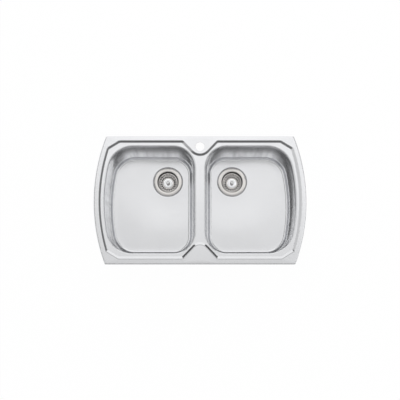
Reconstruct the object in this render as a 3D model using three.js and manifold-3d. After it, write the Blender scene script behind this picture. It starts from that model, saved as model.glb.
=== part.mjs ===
// Double bowl kitchen sink in pressed stainless steel, dropped into a worktop from above.
// Millimetres. +X to the right, +Y to the back, +Z up. The origin is the middle of the sink on
// the worktop's surface. The left half mirrors the right half.

import * as THREE from 'three';
import { mergeVertices } from 'three/addons/utils/BufferGeometryUtils.js';
import Module from 'manifold-3d';

// ---- Driving dimensions ------------------------------------------------------------------

// Deck
const DECK_LENGTH = 840;
const DECK_WIDTH = 510;
const SIDE_BOW_RADIUS = 720;
const DECK_CORNER_RADIUS = 6.5;
const SHEET = 1;
const RIM_HEIGHT = 5;
const EDGE_ROLL_RADIUS = 3.5;
const EDGE_CLEARANCE = 0.3;

// Step down from the rim to the ledge round the bowls
const RIM_SIDE_WIDTH = 20;
const RIM_BACK_WIDTH = 17;
const RIM_FRONT_WIDTH = 23;
const STEP_RUN = 8;
const STEP_DEPTH = 7;
const STEP_EDGE_RADIUS = 2.5;
const CORNER_CUT_REACH = 79;
const CORNER_CUT_ANGLE = 32;
const CUT_FILLET_RADIUS = 14;
const NOTCH_HALF_WIDTH = 67.5;
const NOTCH_ANGLE = 46.5;
const BACK_NOTCH_TIP_RADIUS = 40;
const FRONT_NOTCH_TIP_RADIUS = 34;

// Bowls
const LEDGE_SIDE_WIDTH = 9.4;
const LEDGE_BACK_WIDTH = 10.5;
const LEDGE_FRONT_WIDTH = 9.8;
const DIVIDER_WIDTH = 33;
const BOWL_INNER_CORNER_RADIUS = 90;
const BOWL_OUTER_CORNER_RADIUS = 105;
const BOWL_DEPTH = 190;
const BOWL_TOP_RADIUS = 5;
const BOWL_FLOOR_RADIUS = 15;
const WALL_DRAFT_ANGLE = 5;
const FLOOR_FALL = 3;
const WELD_FLANGE = 2;

// Tap hole
const TAP_HOLE_RADIUS = 17.5;
const TAP_HOLE_FROM_BACK = 41.5;

// Waste: a flanged cup clamped in a dish in the bowl's floor
const DRAIN_FROM_MIDDLE = 132;
const DRAIN_FORWARD_OF_TAP = 111.5;
const DISH_RADIUS = 61.5;
const DISH_SLOPE = 2;
const DISH_DEPTH = 3.5;
const DISH_FLAT = 6;
const WASTE_HOLE_RADIUS = 45;
const FLANGE_RADIUS = 57;
const FLANGE_RISE = 1.5;
const CUP_RADIUS = 42.5;
const CUP_WALL = 1.2;
const CUP_DEPTH = 44;
const CUP_CONE_HEIGHT = 11;
const CUP_CONE_RUN = 8;
const OUTLET_RADIUS = 21.5;
const OUTLET_WALL = 2.5;
const OUTLET_LENGTH = 22;
const SPIDER_BAR = 3;
const SPIDER_DROP = 8;
const SPIDER_HUB_RADIUS = 6.5;
const FLANGE_SEAL_WIDTH = 8;
const FLANGE_SEAL_THICKNESS = 1.4;
const GASKET_WIDTH = 11;
const GASKET_THICKNESS = 3;
const FRICTION_WASHER_THICKNESS = 1;
const LOCK_NUT_WIDTH = 9;
const LOCK_NUT_HEIGHT = 10;
const LOCK_NUT_LUGS = 6;
const LOCK_NUT_LUG_LENGTH = 4;
const LOCK_NUT_LUG_WIDTH = 8;

// Strainer basket
const BASKET_RIM_RADIUS = 38;
const BASKET_WALL_RADIUS = 35.5;
const BASKET_SHOULDER_RADIUS = 33.5;
const BASKET_DISC_RADIUS = 22;
const BASKET_DEPTH = 21;
const BASKET_SHOULDER_HEIGHT = 7;
const BASKET_SHEET = 0.9;
const SLOT_COUNT = 20;
const SLOT_WIDTH = 4.4;
const STOPPER_RADIUS = 31;
const STOPPER_THICKNESS = 5;
const STEM_RADIUS = 3;
const STEM_TIP_BELOW_SPIDER = 2;
const KNOB_RADIUS = 8.5;
const KNOB_HEIGHT = 9;
const KNOB_LIFT = 8;
const BASKET_NUT_RADIUS = 6.5;
const BASKET_NUT_HEIGHT = 4;

// Seal under the rim and sound pads under the bowls
const SEAL_WIDTH = 9;
const PAD_LENGTH = 190;
const PAD_WIDTH = 150;
const PAD_CORNER_RADIUS = 20;
const PAD_THICKNESS = 3;
const PAD_GAP_TO_DISH = 18;

// Worktop clips
const WORKTOP_THICKNESS = 38;
const LONG_SIDE_CLIP_OFFSET = 180;
const SHORT_SIDE_CLIP_OFFSET = 110;
const CLIP_FROM_STEP = 5.5;
const BRACKET_LENGTH = 22;
const BRACKET_WIDTH = 9.5;
const BRACKET_SHEET = 1.5;
const BRACKET_NUT_RADIUS = 5;
const BRACKET_NUT_HEIGHT = 6;
const CLIP_SCREW_RADIUS = 2.5;
const CLIP_HEAD_RADIUS = 5;
const CLIP_HEAD_HEIGHT = 4;
const CLAW_WIDTH = 12;
const CLAW_SHEET = 2;
const CLAW_REACH = 30;
const CLAW_HOOK = 10;
const CLAW_TAIL = 6;
const CLAW_TO_WORKTOP = 1.5;
const CLAW_TOOTH = 3;

// Gaps between pieces
const SEAT_GAP = 0.3;
const RUNNING_GAP = 0.5;

// Facets
const FACET_TOLERANCE = 0.6;
const LONGEST_EDGE = 56;
const RING_SIDES = 20;
const SMALL_SIDES = 10;
const SCREW_SIDES = 8;
const HEXAGON_SIDES = 6;

// ---- Places that follow from the dimensions ----------------------------------------------

const LEDGE_Z = RIM_HEIGHT - STEP_DEPTH;
const FLOOR_Z = LEDGE_Z - BOWL_DEPTH;
const DISH_Z = FLOOR_Z - DISH_DEPTH;
const DECK_BACK = DECK_WIDTH / 2;
const TAP_HOLE_Y = DECK_BACK - TAP_HOLE_FROM_BACK;
const DRAIN_Y = TAP_HOLE_Y - DRAIN_FORWARD_OF_TAP;
const BOW_CENTRE_X = DECK_LENGTH / 2 - SIDE_BOW_RADIUS;
const RIGHT = 1;
const LEFT = -1;
const CUT_MARGIN = 5;

// ---- Finishes ----------------------------------------------------------------------------

function finish(color, metalness, roughness) {
  return () => new THREE.MeshStandardMaterial({ color, metalness, roughness });
}

const satinSteel = finish(0xd9dadb, 1, 0.35);
const brushedSteel = finish(0xcfd0d2, 1, 0.4);
const polishedSteel = finish(0xe6e3df, 1, 0.15);
const blackRubber = finish(0x1d1d1e, 0, 0.8);
const greyFoam = finish(0x55575a, 0, 0.95);
const soundPadding = finish(0x3a3b3d, 0, 0.9);
const redFibre = finish(0x8c4a36, 0, 0.85);
const nutPlastic = finish(0xdadada, 0, 0.5);
const zincSteel = finish(0xb9bcc0, 1, 0.4);

// ---- Solids ------------------------------------------------------------------------------

const wasm = await Module();
wasm.setup();

/** Turns a closed three.js geometry into a solid that can be cut and joined. */
function solidOf(geometry) {
  const bare = geometry.clone();
  bare.deleteAttribute('normal');
  bare.deleteAttribute('uv');
  const merged = mergeVertices(bare, 1e-4);
  const mesh = new wasm.Mesh({
    numProp: 3,
    vertProperties: new Float32Array(merged.attributes.position.array),
    triVerts: new Uint32Array(merged.index.array),
  });
  return new wasm.Manifold(mesh);
}

/** Turns a solid back into a three.js geometry. */
function geometryOf(solid) {
  const mesh = solid.getMesh();
  const geometry = new THREE.BufferGeometry();
  geometry.setAttribute('position', new THREE.Float32BufferAttribute(mesh.vertProperties, 3));
  geometry.setIndex(Array.from(mesh.triVerts));
  geometry.computeVertexNormals();
  return geometry;
}

/** A named piece. */
function piece(name, shape, material) {
  const geometry = shape.isBufferGeometry ? shape : geometryOf(shape);
  const mesh = new THREE.Mesh(geometry, material());
  mesh.name = name;
  return mesh;
}

/** An upright body of one outline, with holes if they are given. */
function prism(points, low, high, holes = []) {
  const shape = new THREE.Shape(points);
  shape.holes = holes.map((hole) => new THREE.Path(hole));
  const geometry = new THREE.ExtrudeGeometry(shape, { depth: high - low, bevelEnabled: false });
  return geometry.translate(0, 0, low);
}

/** A body turned about the Z axis from a closed counter-clockwise outline of [radius, height]. */
function turned(profile, sides) {
  const points = profile.map(([radius, height]) => new THREE.Vector2(radius, height));
  const closed = [...points, points[0].clone()];
  return new THREE.LatheGeometry(closed, sides).rotateX(Math.PI / 2);
}

/** A round body between two heights, or a ring if it has a bore. */
function ring(outer, low, high, sides, bore = 0) {
  return turned([[bore, low], [outer, low], [outer, high], [bore, high]], sides);
}

/** A closed body through rings of points, listed from the lowest up, with a fan over each end. */
function loft(rings) {
  const count = rings[0].length;
  const vertices = rings.flat().flatMap((point) => [point.x, point.y, point.z]);
  const faces = [];
  for (let level = 0; level < rings.length - 1; level += 1) {
    for (let i = 0; i < count; i += 1) {
      const a = level * count + i;
      const b = level * count + ((i + 1) % count);
      faces.push(a, b, b + count, a, b + count, a + count);
    }
  }
  const ends = [rings[0], rings[rings.length - 1]];
  ends.forEach((end, top) => {
    const centre = end.reduce((sum, point) => sum.add(point), new THREE.Vector3());
    centre.divideScalar(count);
    const hub = vertices.length / 3;
    vertices.push(centre.x, centre.y, centre.z);
    const start = top ? (rings.length - 1) * count : 0;
    for (let i = 0; i < count; i += 1) {
      const here = start + i;
      const next = start + ((i + 1) % count);
      faces.push(hub, top ? here : next, top ? next : here);
    }
  });
  const geometry = new THREE.BufferGeometry();
  geometry.setAttribute('position', new THREE.Float32BufferAttribute(vertices, 3));
  geometry.setIndex(faces);
  return geometry;
}

// ---- Outlines ----------------------------------------------------------------------------
// An outline is a closed counter-clockwise list of Vector2, seen from above.

const radians = THREE.MathUtils.degToRad;

/** Points along an arc, close enough for its chords to stay within the facet tolerance. */
function arc(centre, radius, from, to) {
  const widest = 2 * Math.acos(Math.max(0, 1 - FACET_TOLERANCE / radius));
  const steps = Math.max(2, Math.ceil(Math.abs(to - from) / widest));
  const points = [];
  for (let i = 0; i <= steps; i += 1) {
    const angle = from + ((to - from) * i) / steps;
    points.push(new THREE.Vector2(
      centre.x + radius * Math.cos(angle),
      centre.y + radius * Math.sin(angle),
    ));
  }
  return points;
}

/** The same points on the other side of the sink, still counter-clockwise. */
function mirrored(points) {
  return points.map((point) => new THREE.Vector2(-point.x, point.y)).reverse();
}

/** Moves each edge of a line of points to its left by a distance, with mitred corners. */
function shifted(points, distance, isClosed) {
  const last = points.length - 1;
  return points.map((point, i) => {
    const before = points[i > 0 ? i - 1 : (isClosed ? last : 0)];
    const after = points[i < last ? i + 1 : (isClosed ? 0 : last)];
    const inward = (a, b) => new THREE.Vector2(a.y - b.y, b.x - a.x).normalize();
    const first = before === point ? inward(point, after) : inward(before, point);
    const second = after === point ? first : inward(point, after);
    const mitre = first.clone().add(second);
    return mitre.multiplyScalar(distance / (1 + first.dot(second))).add(point);
  });
}

/** An outline drawn in by a distance, or let out if it is negative. */
function inset(outline, distance) {
  return shifted(outline, distance, true);
}

/** Rounds the corners of a line of points that have a radius. */
function filleted(corners, isClosed) {
  const count = corners.length;
  return corners.flatMap((corner, i) => {
    const isEnd = !isClosed && (i === 0 || i === count - 1);
    if (!corner.radius || isEnd) {
      return [new THREE.Vector2(corner.x, corner.y)];
    }
    const here = new THREE.Vector2(corner.x, corner.y);
    const before = corners[(i + count - 1) % count];
    const after = corners[(i + 1) % count];
    const arriving = new THREE.Vector2(here.x - before.x, here.y - before.y).normalize();
    const leaving = new THREE.Vector2(after.x - here.x, after.y - here.y).normalize();
    const turn = Math.atan2(arriving.cross(leaving), arriving.dot(leaving));
    const side = Math.sign(turn);
    const normal = new THREE.Vector2(-arriving.y, arriving.x).multiplyScalar(side);
    const tangent = corner.radius * Math.tan(Math.abs(turn) / 2);
    const centre = here.clone().addScaledVector(arriving, -tangent);
    centre.addScaledVector(normal, corner.radius);
    const from = Math.atan2(-normal.y, -normal.x);
    return arc(centre, corner.radius, from, from + turn);
  });
}

/** Adds points along an outline's long edges. */
function divided(outline) {
  return outline.flatMap((point, i) => {
    const next = outline[(i + 1) % outline.length];
    const parts = Math.ceil(point.distanceTo(next) / LONGEST_EDGE);
    const steps = Array.from({ length: parts }, (_, step) => step / parts);
    return steps.map((share) => point.clone().lerp(next, share));
  });
}

/**
 * The right side of an outline: a bowed side with a rounded corner at each end. The bows of
 * all outlines share one centre, so the rim and the ledge keep their width along the side.
 */
function bowedSide(reach, back, front, cornerRadius) {
  const bowRadius = reach - BOW_CENTRE_X;
  const bowCentre = new THREE.Vector2(BOW_CENTRE_X, 0);
  const toCorner = bowRadius - cornerRadius;
  const cornerAt = (y) => new THREE.Vector2(BOW_CENTRE_X + Math.sqrt(toCorner ** 2 - y ** 2), y);
  const frontCentre = cornerAt(front + cornerRadius);
  const backCentre = cornerAt(back - cornerRadius);
  const low = Math.asin(frontCentre.y / toCorner);
  const high = Math.asin(backCentre.y / toCorner);
  return [
    ...arc(frontCentre, cornerRadius, -Math.PI / 2, low),
    ...arc(bowCentre, bowRadius, low, high).slice(1, -1),
    ...arc(backCentre, cornerRadius, high, Math.PI / 2),
  ];
}

function deckOutline() {
  const side = bowedSide(DECK_LENGTH / 2, DECK_BACK, -DECK_BACK, DECK_CORNER_RADIUS);
  return [...side, ...mirrored(side)];
}

/** Where a line from a point meets the circle round the bow's centre. */
function meetBow(start, direction, radius) {
  const offset = start.clone().sub(new THREE.Vector2(BOW_CENTRE_X, 0));
  const along = offset.dot(direction);
  const distance = Math.sqrt(along ** 2 - offset.lengthSq() + radius ** 2) - along;
  return start.clone().addScaledVector(direction, distance);
}

/**
 * The top edge of the step: bowed sides, cut corners, and a notch at the middle of the back
 * and of the front where the rim comes in between the bowls.
 */
function stepOutline() {
  const reach = DECK_LENGTH / 2 - RIM_SIDE_WIDTH;
  const bowRadius = reach - BOW_CENTRE_X;
  const rise = NOTCH_HALF_WIDTH * Math.tan(radians(NOTCH_ANGLE));
  const endOfSink = (y, tipRadius) => {
    const sign = Math.sign(y);
    const cutStart = new THREE.Vector2(reach - CORNER_CUT_REACH, y);
    const angle = radians(CORNER_CUT_ANGLE);
    const direction = new THREE.Vector2(Math.cos(angle), -sign * Math.sin(angle));
    return {
      tip: { x: 0, y: y - sign * rise, radius: tipRadius },
      mouth: { x: NOTCH_HALF_WIDTH, y, radius: CUT_FILLET_RADIUS },
      cutStart: { x: cutStart.x, y, radius: CUT_FILLET_RADIUS },
      cutEnd: meetBow(cutStart, direction, bowRadius),
    };
  };
  const front = endOfSink(-DECK_BACK + RIM_FRONT_WIDTH, FRONT_NOTCH_TIP_RADIUS);
  const back = endOfSink(DECK_BACK - RIM_BACK_WIDTH, BACK_NOTCH_TIP_RADIUS);
  const angleOf = (point) => Math.asin(point.y / bowRadius);
  const bowCentre = new THREE.Vector2(BOW_CENTRE_X, 0);
  const bow = arc(bowCentre, bowRadius, angleOf(front.cutEnd), angleOf(back.cutEnd));
  const rounded = ({ x, y }) => ({ x, y, radius: CUT_FILLET_RADIUS });
  const side = [
    front.mouth,
    front.cutStart,
    rounded(front.cutEnd),
    ...bow.slice(1, -1),
    rounded(back.cutEnd),
    back.cutStart,
    back.mouth,
  ];
  const otherSide = side.map((corner) => ({ ...corner, x: -corner.x })).reverse();
  return filleted([front.tip, ...side, back.tip, ...otherSide], true);
}

/** The edge where the ledge rolls over into a bowl. */
function bowlOutline(side) {
  const stepWidth = (rim, ledge) => rim + STEP_RUN + ledge;
  const reach = DECK_LENGTH / 2 - stepWidth(RIM_SIDE_WIDTH, LEDGE_SIDE_WIDTH);
  const back = DECK_BACK - stepWidth(RIM_BACK_WIDTH, LEDGE_BACK_WIDTH);
  const front = -DECK_BACK + stepWidth(RIM_FRONT_WIDTH, LEDGE_FRONT_WIDTH);
  const radius = BOWL_INNER_CORNER_RADIUS;
  const innerX = DIVIDER_WIDTH / 2 + radius;
  const backCentre = new THREE.Vector2(innerX, back - radius);
  const frontCentre = new THREE.Vector2(innerX, front + radius);
  const outline = divided([
    ...bowedSide(reach, back, front, BOWL_OUTER_CORNER_RADIUS),
    ...arc(backCentre, radius, Math.PI / 2, Math.PI),
    ...arc(frontCentre, radius, Math.PI, 1.5 * Math.PI),
  ]);
  return side === RIGHT ? outline : mirrored(outline);
}

/** Rings for a loft: an outline drawn in by each x of a profile, at the height of its y. */
function ringsOf(outline, profile) {
  return profile.map(({ x, y }) => inset(outline, x).map((p) => new THREE.Vector3(p.x, p.y, y)));
}

// ---- Deck --------------------------------------------------------------------------------

/** The rim with its rolled outer edge, as a tray upside down. */
function rimShell() {
  const outline = deckOutline();
  const rollCentre = new THREE.Vector2(EDGE_ROLL_RADIUS, RIM_HEIGHT - EDGE_ROLL_RADIUS);
  const edge = (radius, low) => [
    new THREE.Vector2(EDGE_ROLL_RADIUS - radius, low),
    ...arc(rollCentre, radius, Math.PI, Math.PI / 2),
  ];
  const outside = loft(ringsOf(outline, edge(EDGE_ROLL_RADIUS, EDGE_CLEARANCE)));
  const inside = loft(ringsOf(outline, edge(EDGE_ROLL_RADIUS - SHEET, -CUT_MARGIN)));
  return solidOf(outside).subtract(solidOf(inside));
}

/** The step's slope from the ledge up to the rim, with x inwards from the step's top edge. */
function stepProfile() {
  const corners = [
    { x: STEP_RUN + CUT_MARGIN, y: LEDGE_Z },
    { x: STEP_RUN, y: LEDGE_Z, radius: STEP_EDGE_RADIUS },
    { x: 0, y: RIM_HEIGHT, radius: STEP_EDGE_RADIUS },
    { x: -CUT_MARGIN, y: RIM_HEIGHT },
  ];
  return filleted(corners, false).slice(1, -1);
}

function deck() {
  const outline = stepOutline();
  const wet = stepProfile();
  const top = wet[wet.length - 1];
  const under = shifted(wet, SHEET, false);
  const hollow = loft(ringsOf(outline, [...wet, { x: top.x, y: RIM_HEIGHT + CUT_MARGIN }]));
  const pan = loft(ringsOf(outline, under));
  const tapHole = ring(
    TAP_HOLE_RADIUS, RIM_HEIGHT - CUT_MARGIN, RIM_HEIGHT + CUT_MARGIN, RING_SIDES,
  ).translate(0, TAP_HOLE_Y, 0);
  let sheet = rimShell().add(solidOf(pan)).subtract(solidOf(hollow)).subtract(solidOf(tapHole));
  for (const side of [LEFT, RIGHT]) {
    const opening = inset(bowlOutline(side), -WELD_FLANGE - SEAT_GAP);
    const cut = prism(opening, LEDGE_Z - CUT_MARGIN, LEDGE_Z + SHEET / 2);
    sheet = sheet.subtract(solidOf(cut));
  }
  return piece('deck', sheet, satinSteel);
}

function rimSeal() {
  const outer = inset(deckOutline(), EDGE_ROLL_RADIUS + RUNNING_GAP);
  const inner = inset(deckOutline(), EDGE_ROLL_RADIUS + RUNNING_GAP + SEAL_WIDTH);
  const seal = prism(outer, 0, RIM_HEIGHT - SHEET - SEAT_GAP, [inner]);
  return piece('rim_seal', seal, greyFoam);
}

// ---- Bowls -------------------------------------------------------------------------------

/** A bowl's wall from the floor up to the ledge, with x inwards from the bowl's top edge. */
function wallProfile() {
  const draft = radians(WALL_DRAFT_ANGLE);
  const topCentre = new THREE.Vector2(0, LEDGE_Z - BOWL_TOP_RADIUS);
  const floorEdge = FLOOR_Z + FLOOR_FALL;
  const drop = topCentre.y - (floorEdge + BOWL_FLOOR_RADIUS);
  const radiusSum = BOWL_TOP_RADIUS + BOWL_FLOOR_RADIUS;
  const spread = (radiusSum + drop * Math.sin(draft)) / Math.cos(draft);
  const floorCentre = new THREE.Vector2(spread, floorEdge + BOWL_FLOOR_RADIUS);
  const upright = Math.PI + draft;
  return [
    ...arc(floorCentre, BOWL_FLOOR_RADIUS, 1.5 * Math.PI, upright),
    ...arc(topCentre, BOWL_TOP_RADIUS, draft, Math.PI / 2),
  ];
}

/** A closed body with the bowl's form, falling from the foot of the wall to a flat round the waste. */
function bowlForm(outline, drain, profile, floorZ) {
  const walls = ringsOf(outline, profile);
  const flatRadius = DISH_RADIUS + DISH_FLAT;
  const flat = walls[0].map((point) => {
    const outwards = new THREE.Vector2(point.x - drain.x, point.y - drain.y);
    outwards.setLength(flatRadius).add(drain);
    return new THREE.Vector3(outwards.x, outwards.y, floorZ);
  });
  return solidOf(loft([flat, ...walls]));
}

function drainOf(side) {
  return new THREE.Vector2(side * DRAIN_FROM_MIDDLE, DRAIN_Y);
}

/** The outside of a bowl, as a closed body. */
function bowlOutside(side) {
  const wet = wallProfile();
  const under = shifted(wet, SHEET, false);
  const flange = [
    new THREE.Vector2(-WELD_FLANGE, LEDGE_Z - SHEET),
    new THREE.Vector2(-WELD_FLANGE, LEDGE_Z),
  ];
  return bowlForm(bowlOutline(side), drainOf(side), [...under, ...flange], FLOOR_Z - SHEET);
}

/** The dish in the floor that the waste's flange sits in, grown outwards by a thickness. */
function dish(drain, thickness, top) {
  const foot = DISH_RADIUS - DISH_SLOPE + thickness;
  const lip = DISH_RADIUS + thickness;
  const form = turned([
    [0, DISH_Z - thickness],
    [foot, DISH_Z - thickness],
    [lip, FLOOR_Z - thickness / 2],
    [lip, top],
    [0, top],
  ], RING_SIDES);
  return solidOf(form.translate(drain.x, drain.y, 0));
}

function bowl(side) {
  const drain = drainOf(side);
  const wet = wallProfile();
  const above = new THREE.Vector2(0, LEDGE_Z + CUT_MARGIN);
  const inside = bowlForm(bowlOutline(side), drain, [...wet, above], FLOOR_Z);
  const hole = ring(WASTE_HOLE_RADIUS, DISH_Z - CUT_MARGIN, FLOOR_Z, RING_SIDES);
  hole.translate(drain.x, drain.y, 0);
  return bowlOutside(side)
    .add(dish(drain, SHEET, FLOOR_Z - SHEET / 4))
    .subtract(inside)
    .subtract(dish(drain, 0, FLOOR_Z + CUT_MARGIN))
    .subtract(solidOf(hole));
}

/** The pad's flat side follows the fall of the floor that it is stuck under. */
function soundPad(side) {
  const frontOfDish = DRAIN_Y - DISH_RADIUS - PAD_GAP_TO_DISH;
  const middleX = (DECK_LENGTH / 2 - RIM_SIDE_WIDTH) / 2 + DIVIDER_WIDTH / 4;
  const half = PAD_LENGTH / 2;
  const corners = [
    { x: middleX - half, y: frontOfDish - PAD_WIDTH, radius: PAD_CORNER_RADIUS },
    { x: middleX + half, y: frontOfDish - PAD_WIDTH, radius: PAD_CORNER_RADIUS },
    { x: middleX + half, y: frontOfDish, radius: PAD_CORNER_RADIUS },
    { x: middleX - half, y: frontOfDish, radius: PAD_CORNER_RADIUS },
  ];
  const outline = filleted(corners, true);
  const low = FLOOR_Z - SHEET - PAD_THICKNESS;
  const slab = prism(side === RIGHT ? outline : mirrored(outline), low, FLOOR_Z);
  const floor = bowlOutside(side).translate([0, 0, -SEAT_GAP]);
  return solidOf(slab).subtract(floor);
}

// ---- Waste and strainer ------------------------------------------------------------------
// Each is made about its own axis, with its height counted from the dish's seat.

const FLANGE_UNDER = SEAT_GAP + FLANGE_SEAL_THICKNESS + SEAT_GAP;
const CUP_FLOOR = -CUP_DEPTH;
const CUP_OUTSIDE = CUP_RADIUS + CUP_WALL;
const CUP_FOOT_RADIUS = CUP_RADIUS - CUP_CONE_RUN;
const OUTLET_END = CUP_FLOOR - OUTLET_LENGTH;
const OUTLET_OUTSIDE = OUTLET_RADIUS + OUTLET_WALL;
const SPIDER_TOP = CUP_FLOOR - SPIDER_DROP;

/** The pressed flange and cup, the outlet, and the spider that guides the strainer's stem. */
function wasteBody() {
  const mouthRadius = 2 * CUP_WALL;
  const crown = FLANGE_UNDER + CUP_WALL + FLANGE_RISE / 2;
  const crownRadius = (FLANGE_RADIUS + CUP_RADIUS) / 2;
  const shell = [
    [OUTLET_RADIUS, OUTLET_END],
    [OUTLET_OUTSIDE, OUTLET_END],
    [OUTLET_OUTSIDE, CUP_FLOOR - CUP_WALL],
    [CUP_FOOT_RADIUS, CUP_FLOOR - CUP_WALL],
    [CUP_OUTSIDE, CUP_FLOOR + CUP_CONE_HEIGHT - CUP_WALL],
    [CUP_OUTSIDE, FLANGE_UNDER],
    [FLANGE_RADIUS - CUP_WALL, FLANGE_UNDER],
    [FLANGE_RADIUS - CUP_WALL / 2, SEAT_GAP],
    [FLANGE_RADIUS, SEAT_GAP],
    [FLANGE_RADIUS - CUP_WALL, FLANGE_UNDER + CUP_WALL / 2],
    [crownRadius, crown],
    [CUP_RADIUS + mouthRadius, crown - CUP_WALL / 4],
    [CUP_RADIUS + mouthRadius / 4, crown - CUP_WALL],
    [CUP_RADIUS, crown - 2 * CUP_WALL],
    [CUP_RADIUS, CUP_FLOOR + CUP_CONE_HEIGHT],
    [CUP_FOOT_RADIUS, CUP_FLOOR],
    [OUTLET_RADIUS, CUP_FLOOR],
  ];
  let body = solidOf(turned(shell, RING_SIDES));
  const barLength = 2 * OUTLET_RADIUS + OUTLET_WALL;
  for (let turn = 0; turn < 3; turn += 1) {
    const bar = new THREE.BoxGeometry(barLength, SPIDER_BAR, SPIDER_BAR);
    bar.translate(0, 0, SPIDER_TOP - SPIDER_BAR / 2).rotateZ((turn * Math.PI) / 3);
    body = body.add(solidOf(bar));
  }
  const hub = ring(SPIDER_HUB_RADIUS, SPIDER_TOP - 2 * SPIDER_BAR, SPIDER_TOP, SMALL_SIDES);
  const guide = ring(
    STEM_RADIUS + RUNNING_GAP, OUTLET_END, CUP_FLOOR, SMALL_SIDES,
  );
  return body.add(solidOf(hub)).subtract(solidOf(guide));
}

function flangeSeal() {
  const outer = FLANGE_RADIUS - CUP_WALL - RUNNING_GAP;
  const high = SEAT_GAP + FLANGE_SEAL_THICKNESS;
  return ring(outer, SEAT_GAP, high, RING_SIDES, outer - FLANGE_SEAL_WIDTH);
}

const GASKET_TOP = -SHEET - SEAT_GAP;
const GASKET_BOTTOM = GASKET_TOP - GASKET_THICKNESS;
const FRICTION_TOP = GASKET_BOTTOM - SEAT_GAP;
const FRICTION_BOTTOM = FRICTION_TOP - FRICTION_WASHER_THICKNESS;
const LOCK_NUT_TOP = FRICTION_BOTTOM - SEAT_GAP;
const CUP_CLEARANCE_RADIUS = CUP_OUTSIDE + SEAT_GAP;

function wasteGasket() {
  const outer = CUP_CLEARANCE_RADIUS + GASKET_WIDTH;
  return ring(outer, GASKET_BOTTOM, GASKET_TOP, RING_SIDES, CUP_CLEARANCE_RADIUS);
}

function frictionWasher() {
  const outer = CUP_CLEARANCE_RADIUS + LOCK_NUT_WIDTH;
  return ring(outer, FRICTION_BOTTOM, FRICTION_TOP, RING_SIDES, CUP_CLEARANCE_RADIUS);
}

/** A round nut with lugs for a drain spanner. */
function lockNut() {
  const low = LOCK_NUT_TOP - LOCK_NUT_HEIGHT;
  const outer = CUP_CLEARANCE_RADIUS + LOCK_NUT_WIDTH;
  let nut = solidOf(ring(outer, low, LOCK_NUT_TOP, RING_SIDES, CUP_CLEARANCE_RADIUS));
  for (let lug = 0; lug < LOCK_NUT_LUGS; lug += 1) {
    const length = LOCK_NUT_LUG_LENGTH + LOCK_NUT_WIDTH / 2;
    const block = new THREE.BoxGeometry(length, LOCK_NUT_LUG_WIDTH, LOCK_NUT_HEIGHT * 0.8);
    block.translate(outer + LOCK_NUT_LUG_LENGTH - length / 2, 0, low + LOCK_NUT_HEIGHT * 0.4);
    block.rotateZ((lug * 2 * Math.PI) / LOCK_NUT_LUGS);
    nut = nut.add(solidOf(block));
  }
  return nut;
}

const STOPPER_BOTTOM = CUP_FLOOR + SEAT_GAP;
const STOPPER_TOP = STOPPER_BOTTOM + STOPPER_THICKNESS;
const BASKET_BOTTOM = STOPPER_TOP + SEAT_GAP;
const BASKET_FLOOR = BASKET_BOTTOM + BASKET_SHEET;
const STEM_HOLE_RADIUS = STEM_RADIUS + SEAT_GAP;

/** The rubber ring that closes the outlet when the strainer is pushed down. */
function stopper() {
  const lip = STOPPER_THICKNESS / 3;
  return turned([
    [STEM_HOLE_RADIUS, STOPPER_BOTTOM + lip],
    [OUTLET_RADIUS, STOPPER_BOTTOM],
    [STOPPER_RADIUS - lip, STOPPER_BOTTOM],
    [STOPPER_RADIUS, STOPPER_BOTTOM + lip],
    [BASKET_DISC_RADIUS, STOPPER_TOP],
    [STEM_HOLE_RADIUS, STOPPER_TOP],
  ], RING_SIDES);
}

/** The slotted strainer: a pressed cup whose shoulder is pierced by a ring of slots. */
function basket() {
  const rimZ = BASKET_FLOOR + BASKET_DEPTH;
  const shoulderZ = BASKET_FLOOR + BASKET_SHOULDER_HEIGHT;
  const bend = (BASKET_SHOULDER_RADIUS - BASKET_DISC_RADIUS) / 3;
  const wet = [
    [STEM_HOLE_RADIUS, BASKET_FLOOR],
    [BASKET_DISC_RADIUS, BASKET_FLOOR],
    [BASKET_SHOULDER_RADIUS - bend, BASKET_FLOOR + BASKET_SHOULDER_HEIGHT / 3],
    [BASKET_SHOULDER_RADIUS, shoulderZ],
    [BASKET_WALL_RADIUS, rimZ - BASKET_SHEET],
    [BASKET_RIM_RADIUS, rimZ],
  ].map(([x, y]) => new THREE.Vector2(x, y));
  const dry = shifted(wet, -BASKET_SHEET, false);
  const profile = [...dry, ...wet.reverse()].map(({ x, y }) => [x, y]);
  let body = solidOf(turned(profile, SLOT_COUNT));
  const slotStart = BASKET_DISC_RADIUS + SLOT_WIDTH / 2;
  const slotEnd = BASKET_SHOULDER_RADIUS - SLOT_WIDTH / 2;
  const half = SLOT_WIDTH / 2;
  const slot = [
    ...arc(new THREE.Vector2(slotEnd, 0), half, -Math.PI / 2, Math.PI / 2),
    ...arc(new THREE.Vector2(slotStart, 0), half, Math.PI / 2, 1.5 * Math.PI),
  ];
  for (let i = 0; i < SLOT_COUNT; i += 1) {
    const cutter = prism(slot, BASKET_BOTTOM - CUT_MARGIN, shoulderZ);
    cutter.rotateZ(((i + 0.5) * 2 * Math.PI) / SLOT_COUNT);
    body = body.subtract(solidOf(cutter));
  }
  return body;
}

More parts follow.
